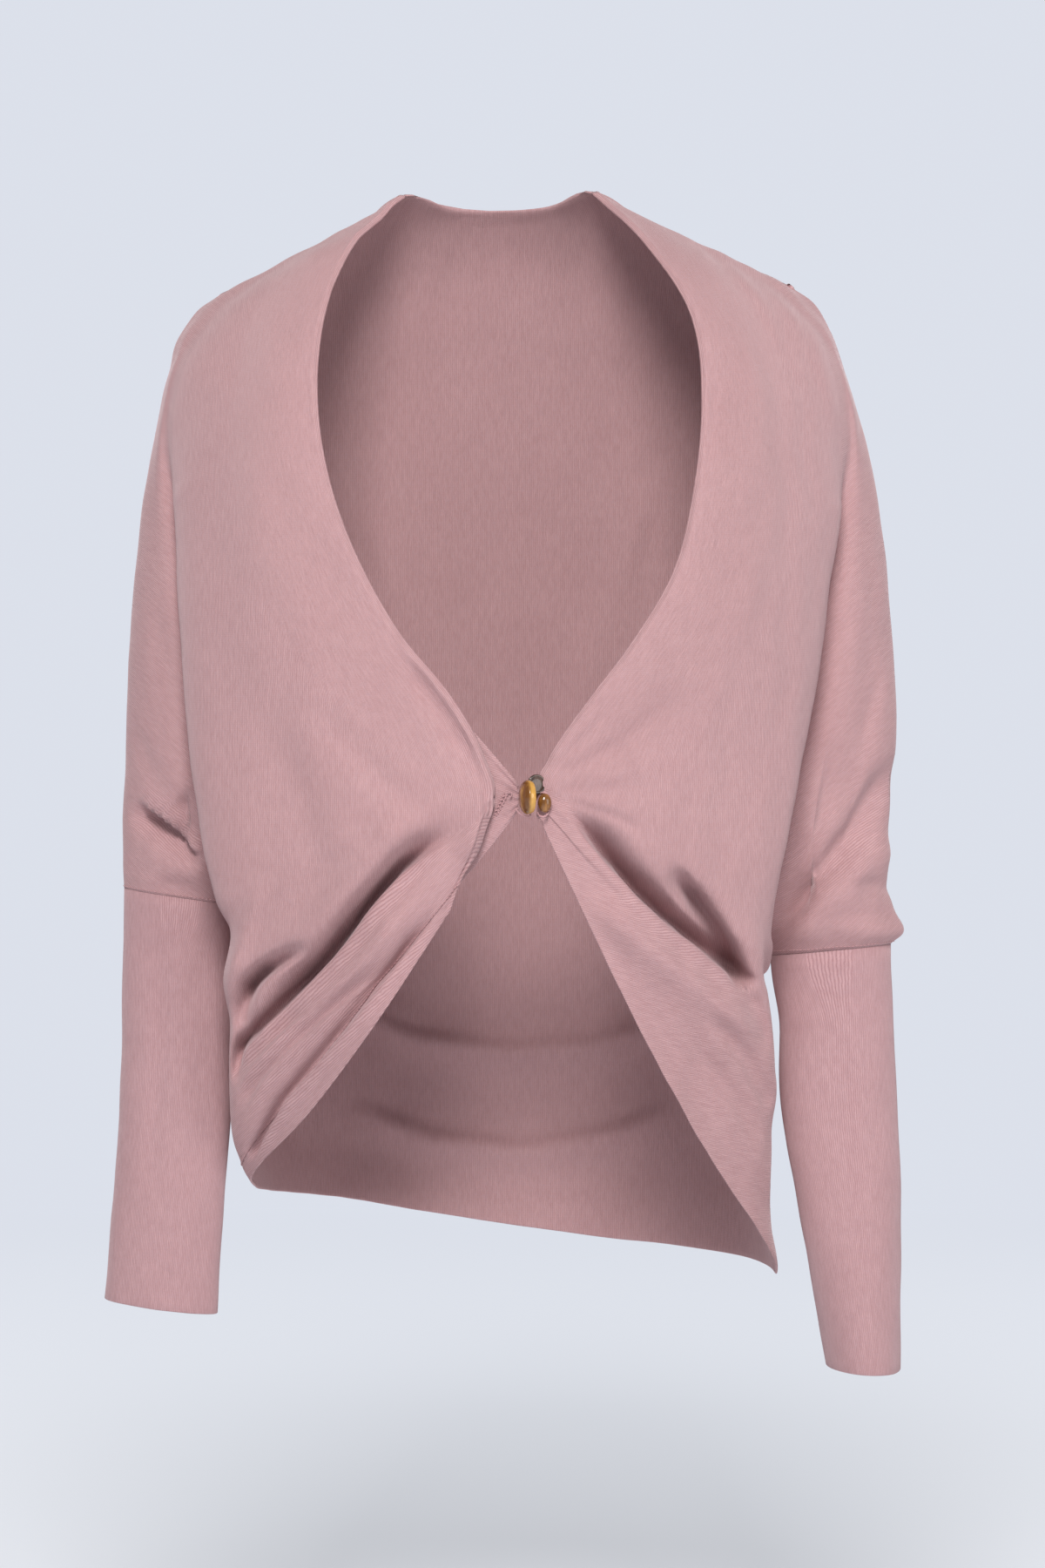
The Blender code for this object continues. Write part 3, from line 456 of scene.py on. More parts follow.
def below_fold(half, middle):
    """True where a place in the front view is below the half's main fold."""
    fold = RIGHT_MAIN_FOLD if half.side == "right" else LEFT_MAIN_FOLD
    return middle[2] < np.interp(middle[0], [x for x, z in fold], [z for x, z in fold])


KNIT = {half.side: knit_places(half) for half in HALVES}
print("knit placed on", ", ".join(KNIT))

# %% [markdown]
# The whole cardigan is first one welded surface, so that neighbours share their points and their normals
# at every seam, and creases run on from one piece to the next. Each piece is a list of that surface's
# quads, and every corner of a quad keeps its own place in the knit.

# %% One welded surface
class Cloth:
    """One welded surface. Pieces are lists of its quads, and areas are sets of its points."""

    def __init__(self):
        self.places = []
        self.index = {}
        self.areas = {}
        self.quads = {}
        self.knit = {}

    def add(self, key, place, area):
        """Adds a point once, however many pieces it belongs to."""
        if key not in self.index:
            self.index[key] = len(self.places)
            self.places.append(place)
        self.areas.setdefault(area, set()).add(self.index[key])

    def quad(self, piece, keys, knit, turn):
        """Adds a quad to a piece, turned over where the half is mirrored."""
        corners = [self.index[key] for key in keys]
        self.quads.setdefault(piece, []).append(corners[::-1] if turn else corners)
        self.knit.setdefault(piece, []).append(knit[::-1] if turn else knit)


def hoop_key(side, row, column):
    """The name of a point, the same for both pieces that meet there."""
    if row == 0 and ARM < column <= NECK:
        column = NECK - column
    if row >= ELBOW_ROW and column == BACK_VALLEY:
        column = VALLEY
    if column == SPINE:
        side = "middle"
    return side, row, column


def area_of(side, column):
    """The area that a column of hoops belongs to, for the folds."""
    if column <= VALLEY:
        return side + " panel"
    if column < BACK_VALLEY:
        return side + " sleeve"
    return "back"


def knit_of(half, row, column, middle):
    """Which knit direction a quad of the body takes."""
    if column >= ARM:
        return "back"
    if column >= RIDGE and row < ELBOW_ROW:
        return "sleeve"
    return "roll" if below_fold(half, middle) else "front"


# %% The body and the lower sleeves as quads
def add_body(cloth, half):
    """Adds one half's front, hem band and back."""
    side, hoops = half.side, half.hoops
    for row in range(HEM_ROW + 1):
        for column in range(SPINE + 1):
            if not np.isnan(hoops[row, column, 0]):
                cloth.add(hoop_key(side, row, column), hoops[row, column], area_of(side, column))
    for row in range(HEM_ROW):
        for column in range(SPINE):
            if row >= ELBOW_ROW and VALLEY <= column < BACK_VALLEY:
                continue
            piece = "back" if column >= ARM else side + "_front"
            if side == "right" and row >= BAND_ROW and column < VALLEY:
                piece = "hem_band"
            corners = ((row, column), (row, column + 1), (row + 1, column + 1), (row + 1, column))
            knit = KNIT[side][knit_of(half, row, column, hoops[row, column])]
            keys = [hoop_key(side, *corner) for corner in corners]
            cloth.quad(piece, keys, [knit[corner] for corner in corners], side == "left")


def add_lower_sleeve(cloth, half):
    """Adds one half's lower sleeve, whose wales run down the arm."""
    side = half.side
    stations = BACK_VALLEY - VALLEY
    top = half.hoops[ELBOW_ROW, VALLEY:BACK_VALLEY]
    rings = np.array([top, *half.rings])
    closed = np.concatenate([rings, rings[:, :1]], axis=1)
    girth = np.concatenate([[0.0], np.cumsum(np.linalg.norm(np.diff(closed[-1], axis=0), axis=1))])
    for number, ring in enumerate(half.rings):
        for station in range(stations):
            cloth.add((side, "ring", number, station), ring[station], side + " cuff")

    def sleeve_key(number, station):
        if number == 0:
            return hoop_key(side, ELBOW_ROW, VALLEY + station % stations)
        return side, "ring", number - 1, station % stations

    for number in range(len(rings) - 1):
        for station in range(stations):
            below = number + 1
            corners = ((number, station), (number, station + 1), (below, station + 1), (below, station))
            knit = [np.array([girth[s], closed[n, s, 2]]) for n, s in corners]
            keys = [sleeve_key(*corner) for corner in corners]
            cloth.quad(side + "_lower_sleeve", keys, knit, side == "left")


cloth = Cloth()
for half in HALVES:
    add_body(cloth, half)
    add_lower_sleeve(cloth, half)
print("points:", len(cloth.places), "pieces:", ", ".join(cloth.quads))

# %% [markdown]
# Folds are what makes jersey look like jersey. Each fold is a path in the front view, in millimetres, with
# the depth of its trough, or the height of a ridge where the depth is negative. Above and below are the
# widths of its flanks, and start and end are how long it takes to fade at its ends. A fold with a lip also
# draws the cloth beside it over the trough, from above, or from below where the lip is negative.
# Sculpting by hand gives the same look, but a table of folds can be read, measured and changed.

# %% Folds of the fronts, the sleeves and the back
Fold = namedtuple("Fold", "area depth above below start end lip path")
FOLDS = (
    Fold("right panel", 10, 12, 10, 50, 40, 0,
         ((-19, -358), (-45, -372), (-60, -387), (-79, -410), (-98, -434), (-114, -451), (-138, -475))),
    Fold("right panel", -7, 13, 9, 40, 40, 0,
         ((-30, -350), (-62, -372), (-84, -396), (-104, -420), (-128, -446), (-150, -462))),
    Fold("right panel", 26, 5.8, 3.5, 60, 26, -4,
         ((-26, -364), (-44, -374), (-58, -385), (-78, -410), (-98, -436), (-114, -453), (-138, -477),
          (-152, -493), (-160, -512))),
    Fold("right panel", -5, 7, 7, 45, 45, 0,
         ((-42, -394), (-67, -421), (-90, -450), (-112, -473), (-135, -498), (-151, -524))),
    Fold("right panel", 6, 6, 3.5, 40, 20, -2,
         ((-60, -434), (-79, -450), (-102, -468), (-124, -488), (-142, -508), (-156, -530))),
    Fold("right panel", 16, 5.5, 5, 20, 22, -2,
         ((-110, -428), (-124, -437), (-136, -445), (-144, -453), (-150, -466), (-154, -484))),
    Fold("right panel", 14, 5, 4.5, 12, 12, -1,
         ((-128, -440), (-137, -446), (-145, -454), (-150, -465))),
    Fold("right panel", 7, 5, 3, 20, 14, -2,
         ((-110, -462), (-124, -475), (-138, -489), (-150, -502), (-158, -516))),
    Fold("right panel", -5, 8, 9, 15, 15, 0,
         ((-148, -434), (-160, -446), (-165, -462), (-162, -478))),
    Fold("right panel", 4, 6, 4, 25, 18, -2,
         ((-110, -440), (-132, -458), (-148, -476), (-158, -500))),
    Fold("right panel", -3, 6, 5, 20, 20, 0,
         ((-136, -390), (-148, -420), (-153, -434), (-165, -454))),
    Fold("right panel", 9, 4.5, 2.5, 30, 12, -2.5,
         ((-38, -408), (-66, -446), (-90, -476), (-114, -505), (-128, -521), (-140, -541), (-150, -560))),
    Fold("right panel", -3, 7, 7, 40, 40, 0,
         ((-60, -448), (-84, -474), (-108, -502), (-124, -524), (-138, -548))),
    Fold("right panel", -4, 9, 9, 20, 20, 0,
         ((-16, -312), (-12, -328), (-11, -341), (-12, -351), (-19, -372), (-27, -387))),
    Fold("right panel", -3, 4, 4, 20, 20, 0,
         ((-24, -298), (-15, -314), (-9, -330), (-7, -345), (-9, -358), (-15, -374), (-24, -392))),
    Fold("right panel", 3, 10, 8, 30, 30, 0,
         ((-66, -256), (-38, -292), (-26, -315), (-20, -335))),
    Fold("right panel", 2.2, 5, 5, 25, 25, 0,
         ((-60, -268), (-36, -298), (-24, -318), (-17, -338), (-17, -352))),
    Fold("right panel", 2.4, 8, 8, 30, 30, 0,
         ((-110, -290), (-78, -326), (-52, -350), (-30, -362))),
    Fold("right panel", 3, 14, 14, 40, 40, 0,
         ((-142, -150), (-120, -190), (-96, -232), (-74, -262))),
    Fold("right panel", 2.4, 10, 12, 40, 40, 0,
         ((-118, -92), (-104, -128), (-88, -160), (-78, -196))),
    Fold("right panel", 2.4, 10, 12, 40, 40, 0,
         ((-128, -300), (-116, -340), (-108, -380), (-112, -410))),
    Fold("left panel", 5, 12, 7, 45, 24, 0,
         ((34, -344), (58, -373), (77, -397), (92, -412), (107, -425), (125, -441), (138, -454))),
    Fold("left panel", 30, 8, 3.5, 55, 16, -4,
         ((36, -348), (48, -367), (58, -380), (72, -397), (89, -413), (101, -423), (114, -433), (128, -445),
          (138, -455))),
    Fold("left panel", -7, 8, 9, 30, 30, 0,
         ((50, -396), (72, -420), (92, -438), (112, -454), (134, -474), (150, -494))),
    Fold("left panel", 5, 7, 8, 25, 25, 0,
         ((97, -385), (110, -402), (124, -420), (135, -440), (141, -453))),
    Fold("left panel", 25, 5.5, 7.5, 26, 12, 3,
         ((91, -384), (107, -400), (119, -416), (129, -432), (136, -446), (141, -456))),
    Fold("left panel", 5, 5, 7, 16, 14, 0,
         ((137, -452), (144, -466), (150, -480), (154, -496))),
    Fold("left panel", -4, 9, 9, 40, 40, 0,
         ((40, -392), (66, -424), (92, -450), (118, -478), (142, -512))),
    Fold("left panel", 5, 7, 5, 22, 10, -1.5,
         ((112, -468), (128, -482), (142, -500), (150, -516), (155, -530))),
    Fold("left panel", 3, 6, 5, 24, 12, -1,
         ((104, -486), (122, -506), (138, -528), (150, -550))),
    Fold("left panel", 2.4, 8, 9, 40, 40, 0,
         ((58, -440), (84, -476), (108, -512), (124, -548))),
    Fold("left panel", 3, 14, 14, 30, 30, 0,
         ((32, -330), (61, -319), (80, -304), (106, -272))),
    Fold("left panel", 3, 6, 7, 12, 30, 0,
         ((27, -334), (46, -327), (66, -317), (84, -302), (98, -284))),
    Fold("left panel", 3, 6, 6, 12, 26, 0,
         ((26, -342), (45, -342), (66, -341), (88, -336))),
    Fold("left panel", 1.6, 3, 3, 12, 12, 0,
         ((23, -330), (36, -321), (50, -308), (60, -294))),
    Fold("left panel", 1.6, 3, 3, 12, 12, 0,
         ((27, -347), (44, -350), (62, -356), (80, -366))),
    Fold("left panel", 2.8, 13, 13, 40, 40, 0,
         ((139, -85), (117, -129), (95, -179), (84, -216))),
    Fold("left panel", 2.6, 12, 12, 40, 40, 0,
         ((152, -150), (134, -200), (118, -246), (108, -290))),
    Fold("left sleeve", 5, 10, 10, 30, 30, 0,
         ((216, -312), (203, -365), (187, -392), (173, -408), (160, -425))),
    Fold("left sleeve", 9, 8, 7, 30, 30, 1,
         ((236, -318), (222, -346), (210, -368), (192, -387), (176, -400), (163, -416), (156, -434))),
    Fold("left sleeve", 6, 12, 8, 40, 40, 0,
         ((196, -300), (190, -340), (180, -372), (168, -400), (160, -430))),
    Fold("left sleeve", -4, 9, 9, 20, 20, 0,
         ((240, -368), (216, -385), (194, -401), (176, -416))),
    Fold("left sleeve", 3, 9, 9, 40, 40, 0,
         ((226, -230), (216, -270), (208, -310), (196, -346), (178, -372))),
    Fold("left sleeve", 1.8, 4, 4, 14, 14, 0.5,
         ((238, -404), (222, -398), (206, -397), (194, -402))),
    Fold("left sleeve", 1.8, 4, 4, 14, 14, 0.5,
         ((240, -420), (224, -416), (206, -415), (190, -421))),
    Fold("left sleeve", 1.6, 4, 4, 20, 20, 0,
         ((228, -262), (216, -300), (206, -336), (200, -362))),
    Fold("right sleeve", 4, 8, 8, 15, 15, 0,
         ((-220, -352), (-207, -361), (-194, -370), (-183, -381))),
    Fold("right sleeve", 10, 5, 7, 14, 14, 4,
         ((-222, -350), (-208, -360), (-195, -369), (-184, -380), (-176, -387))),
    Fold("right sleeve", 9, 6, 6, 12, 12, 2,
         ((-183, -340), (-188, -351), (-184, -365), (-178, -374))),
    Fold("right sleeve", 1.8, 5, 5, 20, 20, 0,
         ((-222, -300), (-212, -322), (-202, -340), (-196, -356))),
    Fold("right sleeve", 1.6, 6, 6, 25, 25, 0,
         ((-206, -222), (-200, -262), (-196, -300))),
    Fold("right cuff", 1.6, 5, 5, 40, 40, 0,
         ((-206, -420), (-202, -470), (-206, -530), (-212, -590))),
    Fold("right cuff", 1.2, 4, 4, 12, 12, 0,
         ((-224, -430), (-206, -437), (-188, -434))),
    Fold("left cuff", 1.8, 5, 5, 40, 40, 0,
         ((197, -470), (203, -560), (214, -640))),
    Fold("left cuff", 1.4, 4, 4, 12, 12, 0,
         ((188, -468), (206, -462), (226, -468))),
    Fold("back", 5, 14, 14, 60, 60, 0,
         ((-120, -470), (-60, -500), (0, -508), (60, -504), (120, -484))),
    Fold("back", 4, 12, 12, 50, 50, 0,
         ((-110, -540), (-50, -566), (10, -574), (70, -562), (115, -540))),
    Fold("back", 5, 16, 16, 60, 60, 0,
         ((-182, -240), (-150, -330), (-120, -390), (-80, -430))),
    Fold("back", 5, 16, 16, 60, 60, 0,
         ((184, -250), (150, -340), (118, -402), (76, -444))),
    Fold("back", 3, 6, 7, 40, 40, 1.5,
         ((-112, -474), (-58, -498), (0, -507), (58, -502), (114, -486))),
    Fold("back", 2.4, 6, 6, 40, 40, 1,
         ((-104, -540), (-48, -563), (12, -571), (70, -559), (108, -542))),
    Fold("back", 3, 6, 6, 40, 40, 1,
         ((-172, -262), (-150, -322), (-124, -380), (-88, -420))),
    Fold("back", 3, 6, 6, 40, 40, 1,
         ((178, -268), (150, -336), (120, -396), (82, -436))),
    Fold("back", 2, 8, 8, 50, 50, 0,
         ((-96, -150), (-62, -230), (-40, -310), (-30, -380))),
    Fold("back", 2, 8, 8, 50, 50, 0,
         ((92, -140), (66, -226), (38, -318), (34, -392))),
    Fold("back", 2.4, 7, 7, 40, 40, 0,
         ((-150, -420), (-124, -452), (-86, -476), (-40, -486))),
    Fold("back", 2.2, 6, 7, 40, 40, 0,
         ((150, -440), (118, -470), (80, -488), (34, -494))),
)
print(len(FOLDS), "folds, the deepest", max(fold.depth for fold in FOLDS), "mm")

# %% [markdown]
# On the sleeves and the back the cloth is pressed in along its normals. On the fronts it is pressed straight
# back, so that a fold's path stays where it was drawn, and less where the cloth turns to the side. It stays
# calm at the open edge, beside the valley between the front and the sleeve, and behind the arm, where a
# trough would pinch it. A Displace modifier presses too, but it can't calm each of these places by itself.

# %% Pressing the folds in
FOLD_END_SHARE = 0.04
CALM_EDGE = 12
VALLEY_CALM = 8
ARM_START = 4
ARM_FADE = 10
BEHIND_ARM = 0.05
SIDE_FROM = 0.75
SIDE_TO = 0.98
LIP_PLACE = 1.6
LIP_SPREAD = 0.75
LIP_BULGE = 0.3


def fold_moves(points, fold):
    """How far a fold presses each point in, and how its lip draws the point over the trough."""
    path = np.array(fold.path, float)
    lengths = np.linalg.norm(np.diff(path, axis=0), axis=1)
    starts = np.concatenate([[0.0], np.cumsum(lengths)])
    nearest = np.full(len(points), np.inf)
    aside = np.zeros_like(points)
    along = np.zeros(len(points))
    for i, length in enumerate(lengths):
        heading = (path[i + 1] - path[i]) / length
        offset = points - path[i]
        travel = offset @ heading
        if i > 0:
            travel = np.maximum(travel, 0)
        if i < len(lengths) - 1:
            travel = np.minimum(travel, length)
        away = offset - np.clip(travel, 0, length)[:, None] * heading
        closer = np.linalg.norm(away, axis=1) < nearest
        nearest = np.where(closer, np.linalg.norm(away, axis=1), nearest)
        aside = np.where(closer[:, None], away, aside)
        along = np.where(closer, starts[i] + np.clip(travel, 0, length), along)
    width = np.where(aside[:, 1] > 0, fold.above, fold.below)
    ends = np.clip(np.minimum(along / fold.start, (starts[-1] - along) / fold.end), 0, 1)
    fading = FOLD_END_SHARE + (1 - FOLD_END_SHARE) * eased(ends)
    press = fold.depth * np.exp(-((nearest / width) ** 2)) * fading
    lipped = aside[:, 1] > 0 if fold.lip > 0 else aside[:, 1] <= 0
    over = np.exp(-((nearest / width - LIP_PLACE) / LIP_SPREAD) ** 2) * lipped * fading * abs(fold.lip)
    shift = -aside / np.maximum(nearest, 1e-6)[:, None] * over[:, None]
    return press - LIP_BULGE * over, shift


def normals_of(places, quads):
    """The mean normal of the quads that meet at each point."""
    total = np.zeros_like(places)
    corners = places[quads]
    facing = np.cross(corners[:, 2] - corners[:, 0], corners[:, 3] - corners[:, 1])
    for i in range(4):
        np.add.at(total, quads[:, i], facing)
    return total / np.maximum(np.linalg.norm(total, axis=1), 1e-12)[:, None]


def from_front_edge(places, half):
    """The points of a half's front, row by row, and how far over the cloth each is from the open edge."""
    grid = np.array([[cloth.index[hoop_key(half.side, row, column)] for column in range(RIDGE)]
                     for row in range(HEM_ROW + 1)])
    steps = np.linalg.norm(np.diff(places[grid], axis=1), axis=2)
    return grid, np.concatenate([np.zeros((len(grid), 1)), np.cumsum(steps, axis=1)], axis=1)


def press_folds(cloth, places, quads):
    """Presses the points of each fold's area in, and moves those of its lip over the trough."""
    facing = normals_of(places, quads)
    ease = np.ones(len(places))
    for half in HALVES:
        grid, from_edge = from_front_edge(places, half)
        near = np.clip(from_edge / CALM_EDGE, 0, 1)
        ease[grid] = eased(near)
        for row in range(ELBOW_ROW + 1):
            for beyond in range(1, VALLEY_CALM):
                point = cloth.index[hoop_key(half.side, row, VALLEY + beyond)]
                ease[point] = eased(beyond / VALLEY_CALM)
            for column in range(ARM - ARM_START, BACK_VALLEY):
                share = min(1.0, (column - ARM + ARM_START) / ARM_FADE)
                ease[cloth.index[hoop_key(half.side, row, column)]] *= 1 - (1 - BEHIND_ARM) * eased(share)
    sideways = np.clip((abs(facing[:, 0]) - SIDE_FROM) / (SIDE_TO - SIDE_FROM), 0, 1)
    for side in ("right", "left"):
        panel = np.array(sorted(cloth.areas[side + " panel"]))
        facing[panel] = (0.0, -1.0, 0.0)
        ease[panel] *= 1 - eased(sideways[panel])
    move = np.zeros_like(places)
    for fold in FOLDS:
        chosen = np.array(sorted(cloth.areas[fold.area]))
        press, shift = fold_moves(places[chosen][:, [0, 2]], fold)
        move[chosen] -= facing[chosen] * (press * ease[chosen])[:, None]
        move[chosen, 0] += shift[:, 0] * ease[chosen]
        move[chosen, 2] += shift[:, 1] * ease[chosen]
    return places + move


all_quads = np.array([quad for piece in cloth.quads.values() for quad in piece])
flat_places = np.array(cloth.places)
places = press_folds(cloth, flat_places, all_quads)
print("points moved by up to", np.linalg.norm(places - flat_places, axis=1).max().round(1), "mm")

# %% [markdown]
# Two more touches come from how such a garment is made and hangs. The open edges are folded once to the
# inside, so the cloth rolls and curls in over its last few millimetres, with a hollow behind the roll where
# it lies over the tab. And slack jersey is never quite even, so a slow ripple of half a millimetre runs over
# all of it. A bevel would round every edge alike, while here the roll is fuller where it lies over the tab.

# %% Rolled edges and slack
CURL = 1.8
CURL_WIDTH = 2.2
ROLL = 0.7
ROLL_AT = 2.8
ROLL_WIDTH = 2.0
HOLLOW = 2.6
HOLLOW_AT = 7.0
HOLLOW_WIDTH = 2.4
TAB_ROLL = 2.4
TAB_ROLL_LENGTH = 55
TAB_HEIGHT = -345
RIPPLE = 0.45
RIPPLE_LENGTHS = ((37, 61, 83), (23, 41, 53))


def roll_edges(places, facing):
    """Rolls the cloth along the front edges: curled in, rounded, and hollow behind the roll."""
    for half in HALVES:
        grid, from_edge = from_front_edge(places, half)
        roll = ROLL * np.exp(-((from_edge - ROLL_AT) / ROLL_WIDTH) ** 2)
        hollow = HOLLOW * np.exp(-((from_edge - HOLLOW_AT) / HOLLOW_WIDTH) ** 2)
        over_tab = np.exp(-((places[grid][..., 2] - TAB_HEIGHT) / TAB_ROLL_LENGTH) ** 2)
        over_tab = over_tab if half.side == "right" else 0 * over_tab
        curl = CURL * np.exp(-((from_edge / CURL_WIDTH) ** 2))
        lift = roll * (1 + TAB_ROLL * over_tab) - hollow * over_tab - curl
        places[grid] += facing[grid] * lift[..., None]


def slack(places, facing):
    """A slow uneven ripple over all the cloth."""
    ripple = np.zeros(len(places))
    for x, y, z in RIPPLE_LENGTHS:
        ripple += np.sin(places[:, 0] * 2 * math.pi / x + np.sin(places[:, 2] * 2 * math.pi / z)
                         + places[:, 1] * 2 * math.pi / y)
    return places + facing * (ripple * RIPPLE / len(RIPPLE_LENGTHS))[:, None]


facing = normals_of(places, all_quads)
roll_edges(places, facing)
places = slack(places, facing)
print("edges curled by", CURL, "mm")

# %% [markdown]
# A shell 1.3 mm thick stands for the doubled look of fine jersey: an outer face, an inner face and a
# rounded edge all round. At a seam the edges of two pieces lie against each other, which leaves the fine
# groove that a sewn seam shows. A Solidify modifier makes square edges, so the edge is made here, where
# the points and the normals are at hand.

# %% Shells
THICK = 1.3
SEAM_DRAW = 0.12
BAND_DRAW = 0.35
CORNER_DRAW = 0.02
SEAM_BULGE = 0.8
RIM_SHARES = ((0.15, 0.7), (0.5, 1.0), (0.85, 0.7))
NORMAL_ROUNDS = 6
SMALL_ROUNDS = 2


def softened(facing, quads, rounds):
    """Normals averaged with their neighbours', so that a wall laid along them stays open in a tight fold."""
    for _ in range(rounds):
        total = facing.copy()
        for i in range(4):
            beside = facing[quads[:, (i + 1) % 4]] + facing[quads[:, (i + 3) % 4]]
            np.add.at(total, quads[:, i], beside)
        facing = total / np.maximum(np.linalg.norm(total, axis=1), 1e-12)[:, None]
    return facing


def rim_of(own):
    """The open edges of a piece, as pairs of points."""
    pairs = {(a, b) for quad in own for a, b in zip(quad, quad[1:] + quad[:1])}
    return [pair for pair in pairs if pair[::-1] not in pairs]


def outward_ways(own, rim, places, facing):
    """At each point of the rim, the way in the cloth that leads off the piece."""
    quads = np.array(own)
    middle = places[quads].mean(axis=1)
    inward = np.zeros_like(places)
    for i in range(4):
        np.add.at(inward, quads[:, i], middle - places[quads[:, i]])
    along = {}
    for a, b in rim:
        heading = places[b] - places[a]
        heading = heading / max(np.linalg.norm(heading), 1e-9)
        along[a] = along.get(a, 0) + heading
        along[b] = along.get(b, 0) + heading
    ways = {}
    for point, heading in along.items():
        way = np.cross(facing[point], heading)
        way = way / max(np.linalg.norm(way), 1e-9)
        ways[point] = way if way @ inward[point] < 0 else -way
    return ways


def shell(name, places, facing, draws, material):
    """One piece of cloth as a thin closed shell with rounded edges, and its knit as a UV map."""
    own, knit = cloth.quads[name], cloth.knit[name]
    rim = rim_of(own)
    ways = outward_ways(own, rim, places, facing)
    used = sorted({corner for quad in own for corner in quad})
    place = {point: i for i, point in enumerate(used)}
    draw = np.array([-draws[point] * ways[point] if point in draws and point in ways else np.zeros(3)
                     for point in used])
    outer = places[used] + draw
    inner = outer - THICK * facing[used]
    count = len(used)
    points = [outer, inner]
    rim_points = [point for point in used if point in ways]
    ring = {}
    for number, (depth, bulge) in enumerate(RIM_SHARES):
        for i, point in enumerate(rim_points):
            ring[number, point] = 2 * count + number * len(rim_points) + i
        reach = [bulge * (draws[point] * SEAM_BULGE if point in draws else THICK / 2)
                 for point in rim_points]
        points.append(np.array([outer[place[point]] - THICK * depth * facing[point] + size * ways[point]
                                for point, size in zip(rim_points, reach)]))
    faces = [[place[corner] for corner in quad] for quad in own]
    uvs = [uv for quad in knit for uv in quad]
    faces += [[face[i] + count for i in (3, 2, 1, 0)] for face in faces[:len(own)]]
    uvs += [quad[i] for quad in knit for i in (3, 2, 1, 0)]
    corner_knit = {}
    for quad, places_in_knit in zip(own, knit):
        corner_knit.update(zip(quad, places_in_knit))
    for a, b in rim:
        left = [place[a], *(ring[number, a] for number in range(len(RIM_SHARES))), place[a] + count]
        right = [place[b], *(ring[number, b] for number in range(len(RIM_SHARES))), place[b] + count]
        for i in range(len(left) - 1):
            faces.append([right[i], left[i], left[i + 1], right[i + 1]])
            uvs += [corner_knit[b], corner_knit[a], corner_knit[a], corner_knit[b]]
    mesh = bpy.data.meshes.new(name + "_cloth")
    mesh.from_pydata((np.concatenate(points) * MM).tolist(), [], faces)
    layer = mesh.uv_layers.new(name="knit")
    layer.data.foreach_set("uv", np.array(uvs, np.float32).ravel())
    mesh.materials.append(material)
    mesh.shade_smooth()
    obj = bpy.data.objects.new(name + "_cloth", mesh)
    bpy.context.scene.collection.objects.link(obj)
    return obj


print("shells", THICK, "mm thick")

# %% [markdown]
# The finish of the jersey is drawn by nodes. Every wale is a rounded rib with its stitches slanting down
# to both sides, about one millimetre apart, and the yarn is a melange: fibres of a lighter and a darker
# dusty pink. Sheen gives the soft light along the turned-away sides. A picture of knit would repeat and
# blur close up, while these nodes stay sharp at any distance.

# %% Nodes for knit
class Nodes:
    """Short words for building a material's nodes."""

    def __init__(self, name):
        self.material = bpy.data.materials.new(name)
        self.material.use_nodes = True
        self.tree = self.material.node_tree
        self.shader = self.tree.nodes["Principled BSDF"]

    def node(self, kind, **settings):
        """A new node with the given settings."""
        node = self.tree.nodes.new(kind)
        for name, value in settings.items():
            setattr(node, name, value)
        return node

    def feed(self, socket, value):
        """Links a node's output to a socket, or sets the socket to a value."""
        if isinstance(value, bpy.types.NodeSocket):
            self.tree.links.new(value, socket)
        else:
            socket.default_value = value

    def math(self, operation, first, second=0.0):
        """A sum on one or two values."""
        node = self.node("ShaderNodeMath", operation=operation)
        self.feed(node.inputs[0], first)
        self.feed(node.inputs[1], second)
        return node.outputs[0]

    def noise(self, vector, scale, detail=2.0, roughness=0.5):
        """Noise of a given fineness, in lumps for each metre."""
        node = self.node("ShaderNodeTexNoise")
        self.feed(node.inputs["Vector"], vector)
        node.inputs["Scale"].default_value = scale
        node.inputs["Detail"].default_value = detail
        node.inputs["Roughness"].default_value = roughness
        return node.outputs["Fac"]

    def mix(self, share, first, second):
        """A colour between two."""
        node = self.node("ShaderNodeMix", data_type="RGBA")
        self.feed(node.inputs["Factor"], share)
        self.feed(node.inputs[6], first)
        self.feed(node.inputs[7], second)
        return node.outputs[2]

    def span(self, value, low, high, to_low=0.0, to_high=1.0):
        """A value moved from one range to another."""
        node = self.node("ShaderNodeMapRange")
        for socket, given in zip(node.inputs, (value, low, high, to_low, to_high)):
            self.feed(socket, given)
        return node.outputs[0]

    def bump(self, height, strength, distance, normal=None):
        """A normal that makes a height look raised."""
        node = self.node("ShaderNodeBump")
        node.inputs["Strength"].default_value = strength
        node.inputs["Distance"].default_value = distance
        self.feed(node.inputs["Height"], height)
        if normal is not None:
            self.feed(node.inputs["Normal"], normal)
        return node.outputs[0]


print("short words for nodes are ready")

# %% [markdown]
# One recipe serves both knits. The ribs, stitches and fibres are in the colour and in the bump, and the
# colour is painted darker in the grooves between ribs and stitches, a painted shade. A last broad noise keeps
# the cloth from looking perfectly even. The sleeves take it closer and a touch darker.

# %% The jersey and the fine knit
YARN_WIDTH = 1.6
YARN_LENGTH = 9
JERSEY_LIGHT = (0.56, 0.345, 0.345, 1)
JERSEY_DARK_TONE_AND_GROOVE_SHADE = (0.32, 0.165, 0.17, 1)
JERSEY_GREY = (0.42, 0.275, 0.295, 1)
SLEEVE_LIGHT = (0.55, 0.34, 0.345, 1)
SLEEVE_DARK_TONE_AND_GROOVE_SHADE = (0.31, 0.162, 0.17, 1)
SLEEVE_GREY = (0.41, 0.265, 0.285, 1)
UNEVEN_SCALE = 260.0
FIBRE_SCALE = 2400.0
MELANGE_SCALE = 700.0
BROAD_SCALE = 24.0
STITCH_DEPTH = 0.16


